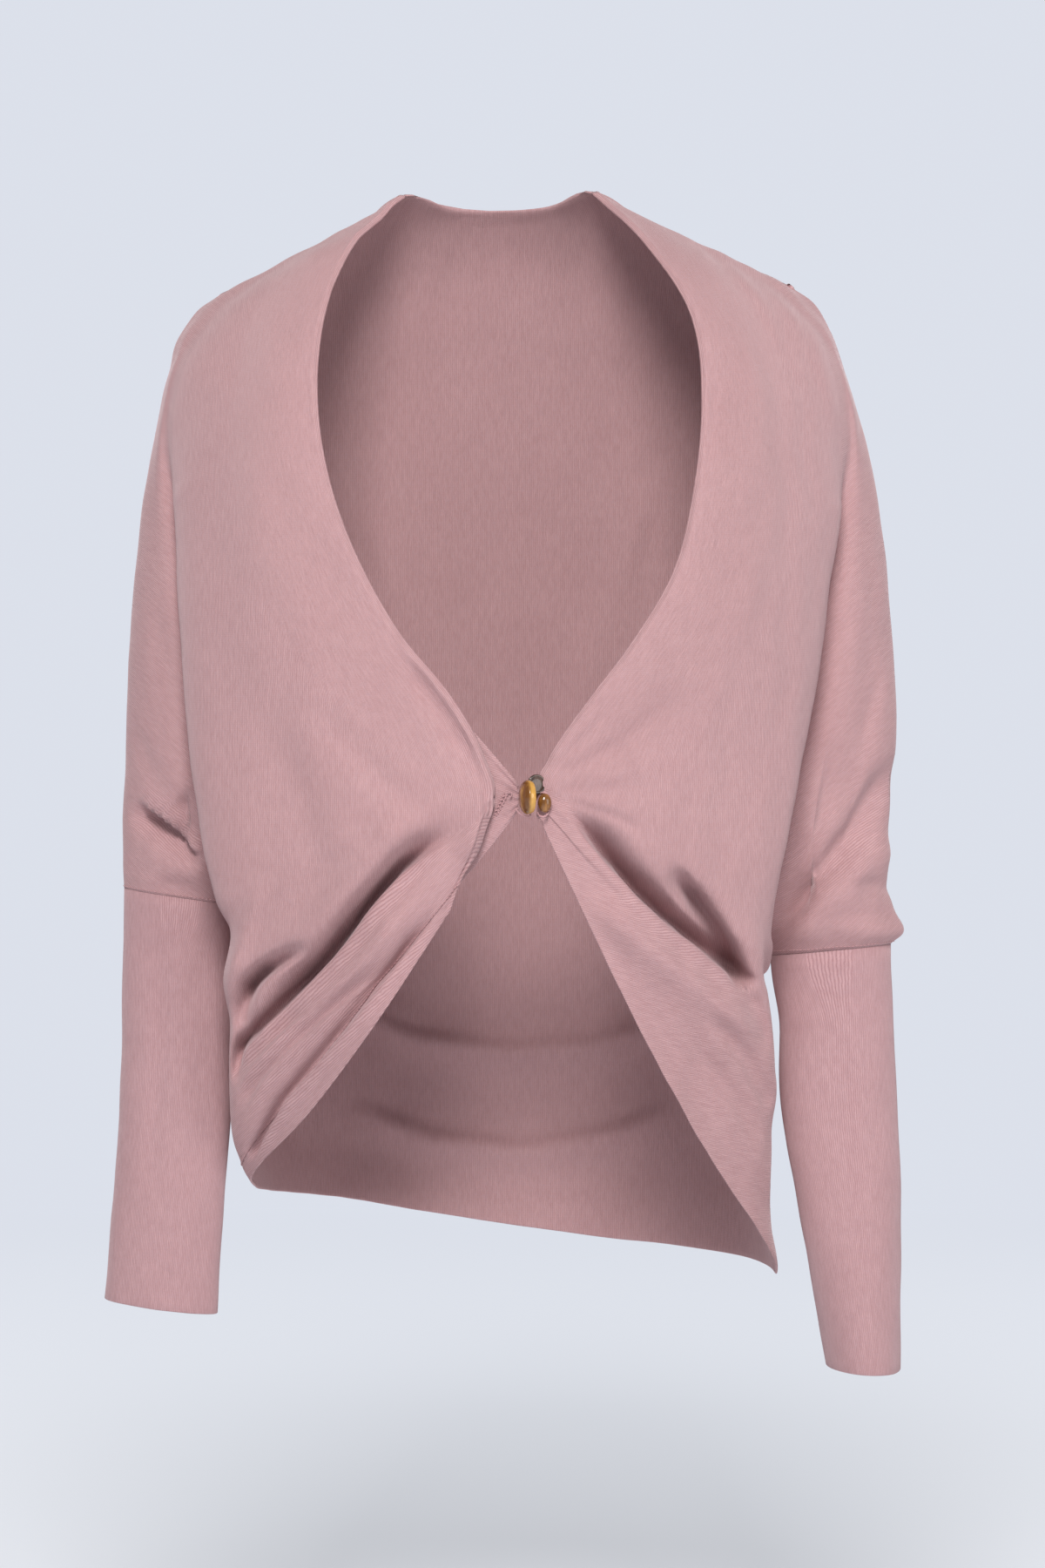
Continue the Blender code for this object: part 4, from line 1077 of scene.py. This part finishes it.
def knit_material(name, light, dark, grey, wale, course, relief):
    """A fine knit: ribs a wale apart, stitches a course apart, both in millimetres."""
    made = Nodes(name)
    here = made.node("ShaderNodeTexCoord").outputs["Object"]
    knit = made.node("ShaderNodeUVMap", uv_map="knit")
    split = made.node("ShaderNodeSeparateXYZ")
    made.feed(split.inputs[0], knit.outputs[0])
    uneven = made.math("MULTIPLY", made.math("SUBTRACT", made.noise(here, UNEVEN_SCALE), 0.5), 0.7)
    across_way = made.math("ADD", made.math("DIVIDE", split.outputs[0], wale), uneven)
    from_middle = made.math("ABSOLUTE", made.math("SUBTRACT", made.math("FRACT", across_way), 0.5))
    from_middle = made.math("MULTIPLY", from_middle, 2.0)
    rib = made.math("SUBTRACT", 1.0, made.math("MULTIPLY", from_middle, from_middle))
    along_way = made.math("ADD", made.math("DIVIDE", split.outputs[1], course),
                          made.math("MULTIPLY", from_middle, 0.6))
    stitch = made.math("COSINE", made.math("MULTIPLY", along_way, 2 * math.pi))
    looped = made.math("ADD", made.math("MULTIPLY", stitch, STITCH_DEPTH), 1 - STITCH_DEPTH)
    height = made.math("MULTIPLY", rib, looped)
    fibre = made.noise(here, FIBRE_SCALE, 3.0, 0.7)
    melange = made.noise(here, MELANGE_SCALE, 4.0, 0.75)
    broad = made.noise(here, BROAD_SCALE, 3.0, 0.55)
    yarns = made.node("ShaderNodeCombineXYZ")
    made.feed(yarns.inputs[0], made.math("DIVIDE", split.outputs[0], YARN_WIDTH))
    made.feed(yarns.inputs[1], made.math("DIVIDE", split.outputs[1], YARN_LENGTH))
    yarn = made.noise(yarns.outputs[0], 1.0, 3.0, 0.65)
    # painted shade: the colour is darker where the rib and stitch height is low, in the grooves between them
    colour = made.mix(made.span(height, 0.1, 0.95), dark, light)
    colour = made.mix(made.span(yarn, 0.38, 0.62, 0.0, 0.42), colour, dark)
    colour = made.mix(made.span(melange, 0.44, 0.62, 0.0, 0.42), colour, grey)
    colour = made.mix(made.span(fibre, 0.35, 0.7, 0.0, 0.22), colour, light)
    colour = made.mix(made.span(broad, 0.3, 0.7, 0.0, 0.13), colour, dark)
    made.feed(made.shader.inputs["Base Color"], colour)
    made.feed(made.shader.inputs["Roughness"], made.span(melange, 0.3, 0.7, 0.82, 0.95))
    fuzz = made.bump(fibre, 0.25, 0.0002)
    ribbed = made.bump(height, relief, 0.0003, fuzz)
    made.feed(made.shader.inputs["Normal"], made.bump(yarn, 0.3, 0.0008, ribbed))
    made.shader.inputs["Specular IOR Level"].default_value = 0.22
    made.shader.inputs["Sheen Weight"].default_value = 0.35
    made.shader.inputs["Sheen Roughness"].default_value = 0.45
    made.shader.inputs["Sheen Tint"].default_value = (1.0, 0.82, 0.84, 1)
    return made.material


jersey = knit_material("dusty pink jersey", JERSEY_LIGHT, JERSEY_DARK_TONE_AND_GROOVE_SHADE, JERSEY_GREY, 0.95, 0.85, 0.55)
fine_knit = knit_material("fine sleeve knit", SLEEVE_LIGHT, SLEEVE_DARK_TONE_AND_GROOVE_SHADE, SLEEVE_GREY, 0.85, 0.7, 0.5)
print("knit materials:", jersey.name, "and", fine_knit.name)

# %% [markdown]
# Now the sewn pieces are made, each from its own quads. Each piece rides on the one body of the frame,
# replaces the solid that it stands for, and prints its faces and the area of its cloth as it is worn.

# %% The sewn pieces of the body
owners = {}
for piece, own in cloth.quads.items():
    for point in {corner for quad in own for corner in quad}:
        owners.setdefault(point, set()).add(piece)
draws = {point: BAND_DRAW if "hem_band" in pieces else SEAM_DRAW
         for point, pieces in owners.items() if len(pieces) > 1}
body_quads = np.array([quad for piece, own in cloth.quads.items() if "lower_sleeve" not in piece
                       for quad in own])
body_facing = softened(normals_of(places, body_quads), body_quads, NORMAL_ROUNDS)
for half in HALVES:
    draws[cloth.index[hoop_key(half.side, 0, ARM)]] = CORNER_DRAW


def cloth_area(quads):
    """The area of a piece in square metres."""
    corners = places[np.array(quads)]
    crossed = np.cross(corners[:, 2] - corners[:, 0], corners[:, 3] - corners[:, 1])
    return float(np.linalg.norm(crossed, axis=1).sum() / 2 * MM * MM)


def dress(name, material, facing):
    """Makes one sewn piece and puts it in the place of its solid."""
    piece = shell(name, places, facing, draws, material)
    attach(piece, "root")
    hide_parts(name)
    print(name, len(piece.data.polygons), "faces,", round(cloth_area(cloth.quads[name]), 4), "square metres")


for name in ("right_front", "left_front", "back", "hem_band"):
    dress(name, jersey, body_facing)

# %% [markdown]
# The lower sleeves are tubes of a finer, closer knit. They take their normals from their own quads, because
# they share only the elbow's ring with the body and would otherwise lean into its folds there.

# %% The lower sleeves
for name in ("right_lower_sleeve", "left_lower_sleeve"):
    own_quads = np.array(cloth.quads[name])
    own_facing = softened(normals_of(places, own_quads), own_quads, SMALL_ROUNDS)
    dress(name, fine_knit, own_facing)

# %% [markdown]
# The under-tab is the strip with the buttonhole that comes out from below the right front's edge and
# reaches to the buttons. Only a small triangle of it shows. It is laid out as a strip between two guide
# lines, with its narrow end gathered by the pull of the thread. A flat triangle would be quicker, but it
# would look like card beside the soft edge that it comes from.

# %% The button tab
Tab = namedtuple("Tab", "share left right")
TAB = (
    Tab(0.0, (-33, -120.4, -291), (7.0, -118.4, -337)),
    Tab(0.2, (-25, -120.2, -309), (7.5, -118.4, -340.5)),
    Tab(0.4, (-18, -119.8, -331), (7.8, -118.4, -344)),
    Tab(0.6, (-17, -119.3, -352), (7.8, -118.4, -347.5)),
    Tab(0.8, (-24, -117.8, -376), (7.5, -118.4, -351)),
    Tab(1.0, (-33, -113.2, -402), (7.0, -118.4, -354)),
)
TAB_COLUMNS = 48
TAB_ROWS = 60
TAB_GATHER = 0.5
TAB_GATHERS = 5
TAB_BACK = 2.0
TAB_SLANT = math.radians(-20)
TAB_SAG = np.array([0.8, 0.0, -0.6])


def guide_tab(field, at):
    """One guide line of the tab, read at the given shares."""
    return smooth([row.share for row in TAB], [getattr(row, field) for row in TAB], at)


def add_tab(cloth):
    """Adds the tab to the cloth as a piece of its own, with gathers at its narrow end."""
    at = np.linspace(0, 1, TAB_ROWS + 1)
    left, right = guide_tab("left", at), guide_tab("right", at)
    for i in range(TAB_ROWS + 1):
        for j in range(TAB_COLUMNS + 1):
            t = j / TAB_COLUMNS
            place = bowed(left[i], right[i], t, TAB_SAG * at[i] ** 2)
            gather = TAB_GATHER * t * t * math.cos(2 * math.pi * TAB_GATHERS * at[i]) + TAB_BACK * (1 - t)
            cloth.add(("tab", i, j), place + np.array([0.0, gather, 0.0]), "tab")
    for i in range(TAB_ROWS):
        for j in range(TAB_COLUMNS):
            corners = ((i, j), (i + 1, j), (i + 1, j + 1), (i, j + 1))
            keys = [("tab", *corner) for corner in corners]
            points = [cloth.places[cloth.index[key]] for key in keys]
            cloth.quad("button_tab", keys, [slanted(point, TAB_SLANT) for point in points], False)


before_tab = len(places)
add_tab(cloth)
places = np.concatenate([places, np.array(cloth.places[before_tab:])])
tab_quads = np.array(cloth.quads["button_tab"])
tab_facing = softened(normals_of(places, tab_quads), tab_quads, SMALL_ROUNDS)
dress("button_tab", jersey, tab_facing)

# %% [markdown]
# A record for a piece's cut is laid out here, with the fields name, width, length and held, for how wide and
# long its cloth was when it lay flat, but no piece is given one. Jersey this fine stretches a little at the
# shoulders and hangs slack below, so the flat size is close to the worn one. The area that each piece prints
# is the one that its own quads add up to.

# %% A record for flat sizes of the cloth
FlatCut = namedtuple("FlatCut", "name width length held")


# %% [markdown]
# Stitches hold the pieces together, and they show: a row along each elbow seam, another above the hem
# band, and the small whipped slit of the buttonhole. Each row is a set of short thread lengths that
# follow the seam. They are geometry, because a painted row would vanish at the silhouette.

# %% Sewing
STITCH = 2.4
STITCH_SHARE = 0.62
STITCH_RADIUS = 0.28
STITCH_LIFT = 0.1
STITCH_PLACES = np.array([0.0, 0.12, 0.35, 0.65, 0.88, 1.0])
STITCH_RISE = np.array([-0.35, 0.1, 0.6, 0.6, 0.1, -0.35])
THREAD_SIDES = 6
THREAD_TIP = 0.45
NEARLY_BACKWARD = 0.8


def thread_line(points, radius):
    """A round thread through points given in millimetres, as a list of mesh points and faces."""
    sides = THREAD_SIDES
    points = np.asarray(points, float)
    heading = np.gradient(points, axis=0)
    heading /= np.maximum(np.linalg.norm(heading, axis=1), 1e-9)[:, None]
    backward = abs(heading[0][1]) >= NEARLY_BACKWARD
    start = np.array([0.0, 0.0, 1.0]) if backward else np.array([0.0, -1.0, 0.0])
    side = start - heading * (heading @ start)[:, None]
    side /= np.maximum(np.linalg.norm(side, axis=1), 1e-9)[:, None]
    other = np.cross(heading, side)
    thin = np.ones(len(points))
    thin[[0, -1]] = THREAD_TIP
    rings = [points + radius * thin[:, None] * (side * math.cos(a) + other * math.sin(a))
             for a in np.arange(sides) * 2 * math.pi / sides]
    verts = np.stack(rings, axis=1).reshape(-1, 3)
    faces = []
    for i in range(len(points) - 1):
        for s in range(sides):
            t = (s + 1) % sides
            faces.append([i * sides + s, i * sides + t, (i + 1) * sides + t, (i + 1) * sides + s])
    faces.append(list(range(sides))[::-1])
    faces.append([(len(points) - 1) * sides + s for s in range(sides)])
    return verts, faces


def join_lines(name, lines, material):
    """Threads as one object that rides on the body."""
    verts, faces, count = [], [], 0
    for line_verts, line_faces in lines:
        verts.append(line_verts)
        faces += [[corner + count for corner in face] for face in line_faces]
        count += len(line_verts)
    mesh = bpy.data.meshes.new(name)
    mesh.from_pydata((np.concatenate(verts) * MM).tolist(), [], faces)
    mesh.materials.append(material)
    mesh.shade_smooth()
    obj = bpy.data.objects.new(name, mesh)
    bpy.context.scene.collection.objects.link(obj)
    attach(obj, "root")
    return obj


def thread_material():
    """Matt sewing thread with its twist, painted darker in the twist's grooves as shade."""
    made = Nodes("pink thread")
    here = made.node("ShaderNodeTexCoord").outputs["Object"]
    twist = made.node("ShaderNodeTexWave", wave_type="BANDS", bands_direction="DIAGONAL")
    made.feed(twist.inputs["Vector"], here)
    twist.inputs["Scale"].default_value = 900.0
    twist.inputs["Distortion"].default_value = 1.2
    fibre = made.noise(here, 3000.0)
    # painted shade: the grooves of the twist, low in the bump, are painted darker
    colour = made.mix(twist.outputs["Fac"], (0.40, 0.20, 0.21, 1), (0.60, 0.34, 0.35, 1))
    made.feed(made.shader.inputs["Base Color"], colour)
    made.feed(made.shader.inputs["Roughness"], made.span(fibre, 0.3, 0.7, 0.7, 0.9))
    made.feed(made.shader.inputs["Normal"], made.bump(twist.outputs["Fac"], 0.5, 0.0002))
    made.shader.inputs["Sheen Weight"].default_value = 0.3
    return made.material


def stitches_along(line):
    """Short stitches along a line of the cloth's points."""
    path, normals = places[line], body_facing[line]
    steps = np.linalg.norm(np.diff(path, axis=0), axis=1)
    places_along = np.concatenate([[0.0], np.cumsum(steps)])
    lines = []
    start = STITCH
    while start + STITCH < places_along[-1]:
        at = start + STITCH * STITCH_SHARE * STITCH_PLACES
        raised = STITCH_RISE * STITCH_RADIUS + STITCH_LIFT
        point = np.stack([np.interp(at, places_along, path[:, i]) for i in range(3)], axis=1)
        normal = np.stack([np.interp(at, places_along, normals[:, i]) for i in range(3)], axis=1)
        lines.append(thread_line(point + normal * raised[:, None], STITCH_RADIUS))
        start += STITCH
    return lines


thread = thread_material()
sewing = []
for half in HALVES:
    elbow_line = [cloth.index[hoop_key(half.side, ELBOW_ROW - 1, column)]
                  for column in range(VALLEY, BACK_VALLEY + 1)]
    sewing += stitches_along(elbow_line)
band_line = [cloth.index[hoop_key("right", BAND_ROW - 1, column)] for column in range(VALLEY)]
sewing += stitches_along(band_line)
join_lines("seam_stitches", sewing, thread)
print("stitches:", len(sewing))

# %% [markdown]
# The buttons are of horn-like resin, with cloudy streaks that run through it and a clear gloss over them. A
# few broad layers of noise give the streaks. Beyond a plane across the amber disc's axis the colour is
# painted brighter, a painted glow of light through thin resin, and before that plane it is painted darker, a
# painted shade. The gloss itself comes from the shader's coat.

# %% Resin for the buttons
STREAK_STRETCH = (1.0, 1.0, 0.35)


def resin(name, deep, middle, bright, streaks, painted_glow_from, painted_glow_to):
    """Polished resin with cloudy streaks, with a painted glow beyond a plane across the amber disc's axis and
    painted shade before it.
    """
    made = Nodes(name)
    here = made.node("ShaderNodeTexCoord").outputs["Object"]
    stretch = made.node("ShaderNodeMapping")
    made.feed(stretch.inputs["Vector"], here)
    stretch.inputs["Scale"].default_value = STREAK_STRETCH
    cloudy = made.noise(stretch.outputs[0], streaks, 4.0, 0.6)
    speckle = made.noise(here, streaks * 6, 3.0, 0.6)
    colour = made.mix(made.span(cloudy, 0.35, 0.6), deep, middle)
    colour = made.mix(made.span(cloudy, 0.50, 0.68), colour, bright)
    axis = made.node("ShaderNodeVectorMath", operation="DOT_PRODUCT")
    made.feed(axis.inputs[0], here)
    made.feed(axis.inputs[1], AMBER_AXIS)
    # painted glow beyond the plane and painted shade before it, mixed into the base colour
    glow = made.span(axis.outputs["Value"], painted_glow_from, painted_glow_to)
    colour = made.mix(made.math("MULTIPLY", glow, 0.75), colour, bright)
    shade = made.math("MULTIPLY", made.math("SUBTRACT", 1.0, glow), made.span(cloudy, 0.4, 0.6, 0.85, 0.35))
    colour = made.mix(shade, colour, deep)
    made.feed(made.shader.inputs["Base Color"], colour)
    made.feed(made.shader.inputs["Roughness"], made.span(speckle, 0.3, 0.7, 0.12, 0.24))
    made.feed(made.shader.inputs["Normal"], made.bump(cloudy, 0.08, 0.0004))
    made.shader.inputs["Coat Weight"].default_value = 0.35
    made.shader.inputs["Coat Roughness"].default_value = 0.06
    made.shader.inputs["Specular IOR Level"].default_value = 0.45
    return made.material


AMBER_CENTRE = (12.9, -127.2, -345.4)
AMBER_AXIS = (0.975, 0.22, 0.0)
AMBER_MIDDLE = float(np.dot(AMBER_CENTRE, AMBER_AXIS)) * MM
# each resin is painted brighter beyond its plane and darker before it: a painted glow and a painted shade
amber = resin("amber resin", (0.13, 0.045, 0.009, 1), (0.33, 0.14, 0.025, 1), (0.66, 0.36, 0.075, 1),
              240.0, AMBER_MIDDLE - 0.0012, AMBER_MIDDLE + 0.0008)
brown = resin("brown resin", (0.09, 0.032, 0.008, 1), (0.26, 0.10, 0.022, 1), (0.44, 0.20, 0.05, 1),
              200.0, AMBER_MIDDLE, AMBER_MIDDLE + 0.03)
dark = resin("dark resin", (0.036, 0.018, 0.011, 1), (0.105, 0.053, 0.036, 1), (0.19, 0.105, 0.07, 1),
             200.0, AMBER_MIDDLE + 0.01, AMBER_MIDDLE + 0.04)
RESINS = {"button_amber": amber, "button_brown": brown, "button_back": dark}
print("resins:", ", ".join(RESINS))

# %% [markdown]
# Each button is turned about its axis from a lathe profile: a disc with a raised rim, a bead, and a flat
# disc behind them. Blender's Screw modifier turns a profile too, but the bead is oval, narrower from side to
# side than it is high, so its rings are written as points.

# %% Turned buttons
Button = namedtuple("Button", "name centre axis radius thickness narrow profile")
BEAD = ((0.0, 0.5), (0.3, 0.485), (0.55, 0.43), (0.75, 0.34), (0.88, 0.23), (0.96, 0.11), (1.0, 0.0),
        (0.96, -0.11), (0.88, -0.23), (0.75, -0.34), (0.55, -0.43), (0.3, -0.485), (0.0, -0.5))
RIDGED = ((0.0, 0.33), (0.35, 0.33), (0.6, 0.35), (0.74, 0.40), (0.82, 0.42), (0.90, 0.37), (0.96, 0.22),
          (0.985, 0.10), (1.0, 0.04), (1.0, -0.02), (0.985, -0.08), (0.94, -0.16), (0.82, -0.30),
          (0.6, -0.42), (0.3, -0.485), (0.0, -0.5))
DISC = ((0.0, 0.36), (0.45, 0.36), (0.66, 0.40), (0.80, 0.47), (0.90, 0.46), (0.97, 0.3), (1.0, 0.0),
        (0.97, -0.3), (0.88, -0.45), (0.6, -0.48), (0.0, -0.5))
BUTTONS = (
    Button("button_amber", AMBER_CENTRE, AMBER_AXIS, 9.6, 8.4, 1.0, RIDGED),
    Button("button_brown", (22.9, -122.4, -348.6), (0.25, -0.97, 0.0), 5.4, 6.2, 0.72, BEAD),
    Button("button_back", (18.2, -120.6, -338.4), (0.35, -0.92, 0.2), 5.8, 2.6, 1.0, DISC),
)
BUTTON_SIDES = 64
PROFILE_STEPS = 3


def turned(button, material):
    """A button turned about its axis from its lathe profile."""
    axis = np.array(button.axis) / np.linalg.norm(button.axis)
    upright_way = np.array([0.0, 0.0, 1.0])
    aside_way = np.cross(upright_way, axis)
    points = []
    knots = np.arange(len(button.profile))
    fine = smooth(knots, button.profile, np.linspace(0, knots[-1], PROFILE_STEPS * knots[-1] + 1))
    for radius, height in fine[1:-1]:
        for step in range(BUTTON_SIDES):
            angle = 2 * math.pi * step / BUTTON_SIDES
            aside = aside_way * math.cos(angle) * button.narrow + upright_way * math.sin(angle)
            points.append(np.array(button.centre) + axis * button.thickness * height
                          + aside * button.radius * radius)
    rings = len(fine) - 2
    top = len(points)
    points.append(np.array(button.centre) + axis * button.thickness * fine[0][1])
    points.append(np.array(button.centre) + axis * button.thickness * fine[-1][1])
    faces = []
    for step in range(BUTTON_SIDES):
        after = (step + 1) % BUTTON_SIDES
        faces.append([top, step, after])
        for ring in range(rings - 1):
            start, below = ring * BUTTON_SIDES, (ring + 1) * BUTTON_SIDES
            faces.append([start + step, below + step, below + after, start + after])
        last = (rings - 1) * BUTTON_SIDES
        faces.append([last + step, top + 1, last + after])
    mesh = bpy.data.meshes.new(button.name + "_turned")
    mesh.from_pydata((np.array(points) * MM).tolist(), [], faces)
    mesh.materials.append(material)
    mesh.shade_smooth()
    obj = bpy.data.objects.new(button.name + "_turned", mesh)
    bpy.context.scene.collection.objects.link(obj)
    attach(obj, "root")
    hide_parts(button.name)


for button in BUTTONS:
    turned(button, RESINS[button.name])
print("turned buttons:", len(BUTTONS))

# %% [markdown]
# Turns of pink thread link the buttons through the cloth. The link itself lies behind the edges, two small
# loops of it show below the buttons, and a third stands for the knot between the disc and the bead. Curves
# with a bevel would do as well. These are meshes, so that all threads are made in one way.

# %% The linking thread
LINK = ((3.0, -115.3, -345.0), (9.0, -115.6, -345.2), (14.0, -116.0, -345.4), (20.0, -116.1, -345.2),
        (26.0, -116.0, -345.0))
LINK_RADIUS = 0.8
LOOPS = (
    ((6.5, -120.5, -352.0), (8.5, -123.5, -354.3), (11.5, -125.0, -356.0), (14.2, -124.5, -356.2),
     (15.0, -121.5, -355.0)),
    ((18.6, -119.5, -353.5), (19.8, -122.0, -355.6), (22.0, -123.2, -356.4), (24.0, -122.0, -355.4),
     (25.0, -119.0, -353.4)),
    ((20.0, -119.0, -343.6), (21.4, -121.6, -342.8), (23.2, -122.6, -343.0), (24.4, -121.0, -344.0),
     (24.0, -118.6, -344.8)),
)
LOOP_RADIUS = 0.55
LINK_POINTS = 40
LOOP_POINTS = 24


def finely(points, count):
    """More points on the smooth curve through a few."""
    knots = np.arange(len(points))
    return smooth(knots, points, np.linspace(0, knots[-1], count))


twist = [thread_line(finely(LINK, LINK_POINTS), LINK_RADIUS)]
link = join_lines("link_thread_twist", twist, thread)
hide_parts("link_thread")
loops = [thread_line(finely(loop, LOOP_POINTS), LOOP_RADIUS) for loop in LOOPS]
join_lines("link_loops", loops, thread)
print("thread loops:", len(loops))

# %% [markdown]
# The buttonhole is a short slit in the under-tab, worked over with thread whose turns stand up from the
# knit, and one loose end curls out of it. A wavy line of thread round the slit shows the turns.

# %% The buttonhole
SLIT_TOP = np.array([1.2, -343.5])
SLIT_BOTTOM = np.array([-5.0, -355.5])
SLIT_ASIDE = np.array([0.89, -0.46])
SLIT_WAVE = 0.8
SLIT_TURNS = 6
TURN_POINTS = 12
SLIT_RADIUS = 0.38
NEAREST = 4
LOOSE_END = ((0.0, 0.0, 0.0), (1.0, -1.0, 1.3), (2.4, -1.3, 0.8), (2.3, -1.0, -0.9), (1.2, -0.8, -1.6))


def on_tab(spots):
    """Puts spots given by x and z onto the front of the tab."""
    tab = places[before_tab:]
    apart = np.linalg.norm(tab[None, :, [0, 2]] - spots[:, None], axis=2)
    near = np.argsort(apart, axis=1)[:, :NEAREST]
    return np.stack([spots[:, 0], tab[near, 1].mean(axis=1), spots[:, 1]], axis=1)


def wavy(start, end, turns, wave, side):
    """A line that winds over the cloth beside the straight way from start to end."""
    t = np.linspace(0, 1, TURN_POINTS * turns)
    aside = SLIT_ASIDE * side
    swing = wave * (1 + 0.5 * np.sin(2 * math.pi * turns * t))
    line = on_tab(start + (end - start) * t[:, None] + aside * swing[:, None])
    line[:, 1] -= SLIT_RADIUS * (1.3 + np.cos(2 * math.pi * turns * t))
    return line


edges = [wavy(SLIT_TOP, SLIT_BOTTOM, SLIT_TURNS, SLIT_WAVE, side) for side in (1, -1)]
loose = finely(edges[0][0] + np.array(LOOSE_END), LOOP_POINTS)
buttonhole = [thread_line(line, SLIT_RADIUS) for line in (*edges, loose)]
join_lines("buttonhole_thread", buttonhole, thread)
print("buttonhole worked over, at", on_tab(np.array([SLIT_TOP]))[0].round(1))

# %% [markdown]
# The cardigan is shown before a pale, faintly blue background. A disc for the floor fades into the colour of
# the world within three metres, so that no horizon line shows. A wall behind would look much the same from
# the front, but it would hide the cardigan from other sides. The world's fill is weaker than the background
# that the camera sees, so that the folds keep their shade.

# %% Floor and background
BACKGROUND = (0.716, 0.748, 0.826)
FILL = (0.25, 0.255, 0.265)
FLOOR_HEIGHT = -0.95
FLOOR_RADIUS = 9.0
FLOOR_DEEP = (0.80, 0.82, 0.86, 1)
FLOOR_PALE = (0.84, 0.86, 0.90, 1)
FADE_FROM = 0.3
FADE_TO = 3.0


def pale_world():
    """A pale background, and a weaker fill light from all round so that folds keep their shade."""
    world = bpy.data.worlds.new("pale studio")
    world.use_nodes = True
    tree = world.node_tree
    seen = tree.nodes["Background"]
    seen.inputs["Color"].default_value = (*BACKGROUND, 1)
    fill = tree.nodes.new("ShaderNodeBackground")
    fill.inputs["Color"].default_value = (*FILL, 1)
    mixed = tree.nodes.new("ShaderNodeMixShader")
    tree.links.new(tree.nodes.new("ShaderNodeLightPath").outputs["Is Camera Ray"], mixed.inputs[0])
    tree.links.new(fill.outputs[0], mixed.inputs[1])
    tree.links.new(seen.outputs[0], mixed.inputs[2])
    tree.links.new(mixed.outputs[0], tree.nodes["World Output"].inputs["Surface"])
    bpy.context.scene.world = world


def pale_floor():
    """A pale disc that fades into the background within a few metres."""
    bpy.ops.mesh.primitive_circle_add(vertices=96, radius=FLOOR_RADIUS, fill_type="NGON",
                                      location=(0, 0, FLOOR_HEIGHT))
    floor = bpy.context.object
    floor.name = "floor"
    made = Nodes("pale floor")
    here = made.node("ShaderNodeTexCoord").outputs["Object"]
    haze = made.noise(here, 0.8)
    made.feed(made.shader.inputs["Base Color"], made.mix(haze, FLOOR_DEEP, FLOOR_PALE))
    made.shader.inputs["Roughness"].default_value = 0.95
    made.shader.inputs["Specular IOR Level"].default_value = 0.0
    out = made.node("ShaderNodeVectorMath", operation="LENGTH")
    made.feed(out.inputs[0], here)
    glow = made.node("ShaderNodeEmission")
    glow.inputs["Color"].default_value = (*BACKGROUND, 1)
    fade = made.node("ShaderNodeMixShader")
    made.feed(fade.inputs[0], made.span(out.outputs["Value"], FADE_FROM, FADE_TO))
    made.feed(fade.inputs[1], made.shader.outputs[0])
    made.feed(fade.inputs[2], glow.outputs[0])
    made.feed(made.tree.nodes["Material Output"].inputs["Surface"], fade.outputs[0])
    floor.data.materials.append(made.material)


pale_world()
pale_floor()
print("floor", FLOOR_RADIUS, "metres in radius")

# %% [markdown]
# Soft light flatters knitwear. A lamp high in front lets the folds cast their shade downwards, a weak one on
# the wearer's left side lifts that side, and two behind keep the back readable. All are wide, so no shadow is
# hard. One lamp beside the camera would flatten every fold.

# %% Lights
Light = namedtuple("Light", "name place size power")
LIGHTS = (
    Light("front", (-0.1, -2.45, 1.25), 0.9, 84),
    Light("side", (1.9, -1.7, 0.0), 1.2, 14),
    Light("back left", (-1.6, 2.6, 0.9), 1.6, 32),
    Light("back right", (1.6, 2.6, 0.9), 1.6, 32),
)
LIGHT_AIM = (0.0, 0.0, -0.33)


def soft_light(light):
    """A large square lamp that faces the cardigan."""
    data = bpy.data.lights.new(light.name, "AREA")
    data.energy = light.power
    data.size = light.size
    obj = bpy.data.objects.new(light.name, data)
    obj.location = light.place
    heading = np.array(LIGHT_AIM) - np.array(light.place)
    flat = math.hypot(heading[0], heading[1])
    turn = math.atan2(heading[1], heading[0]) - math.pi / 2
    obj.rotation_euler = (math.atan2(flat, -heading[2]), 0, turn)
    bpy.context.scene.collection.objects.link(obj)


for light in LIGHTS:
    soft_light(light)
bpy.context.scene.view_settings.view_transform = "Standard"
print("lights:", len(LIGHTS))
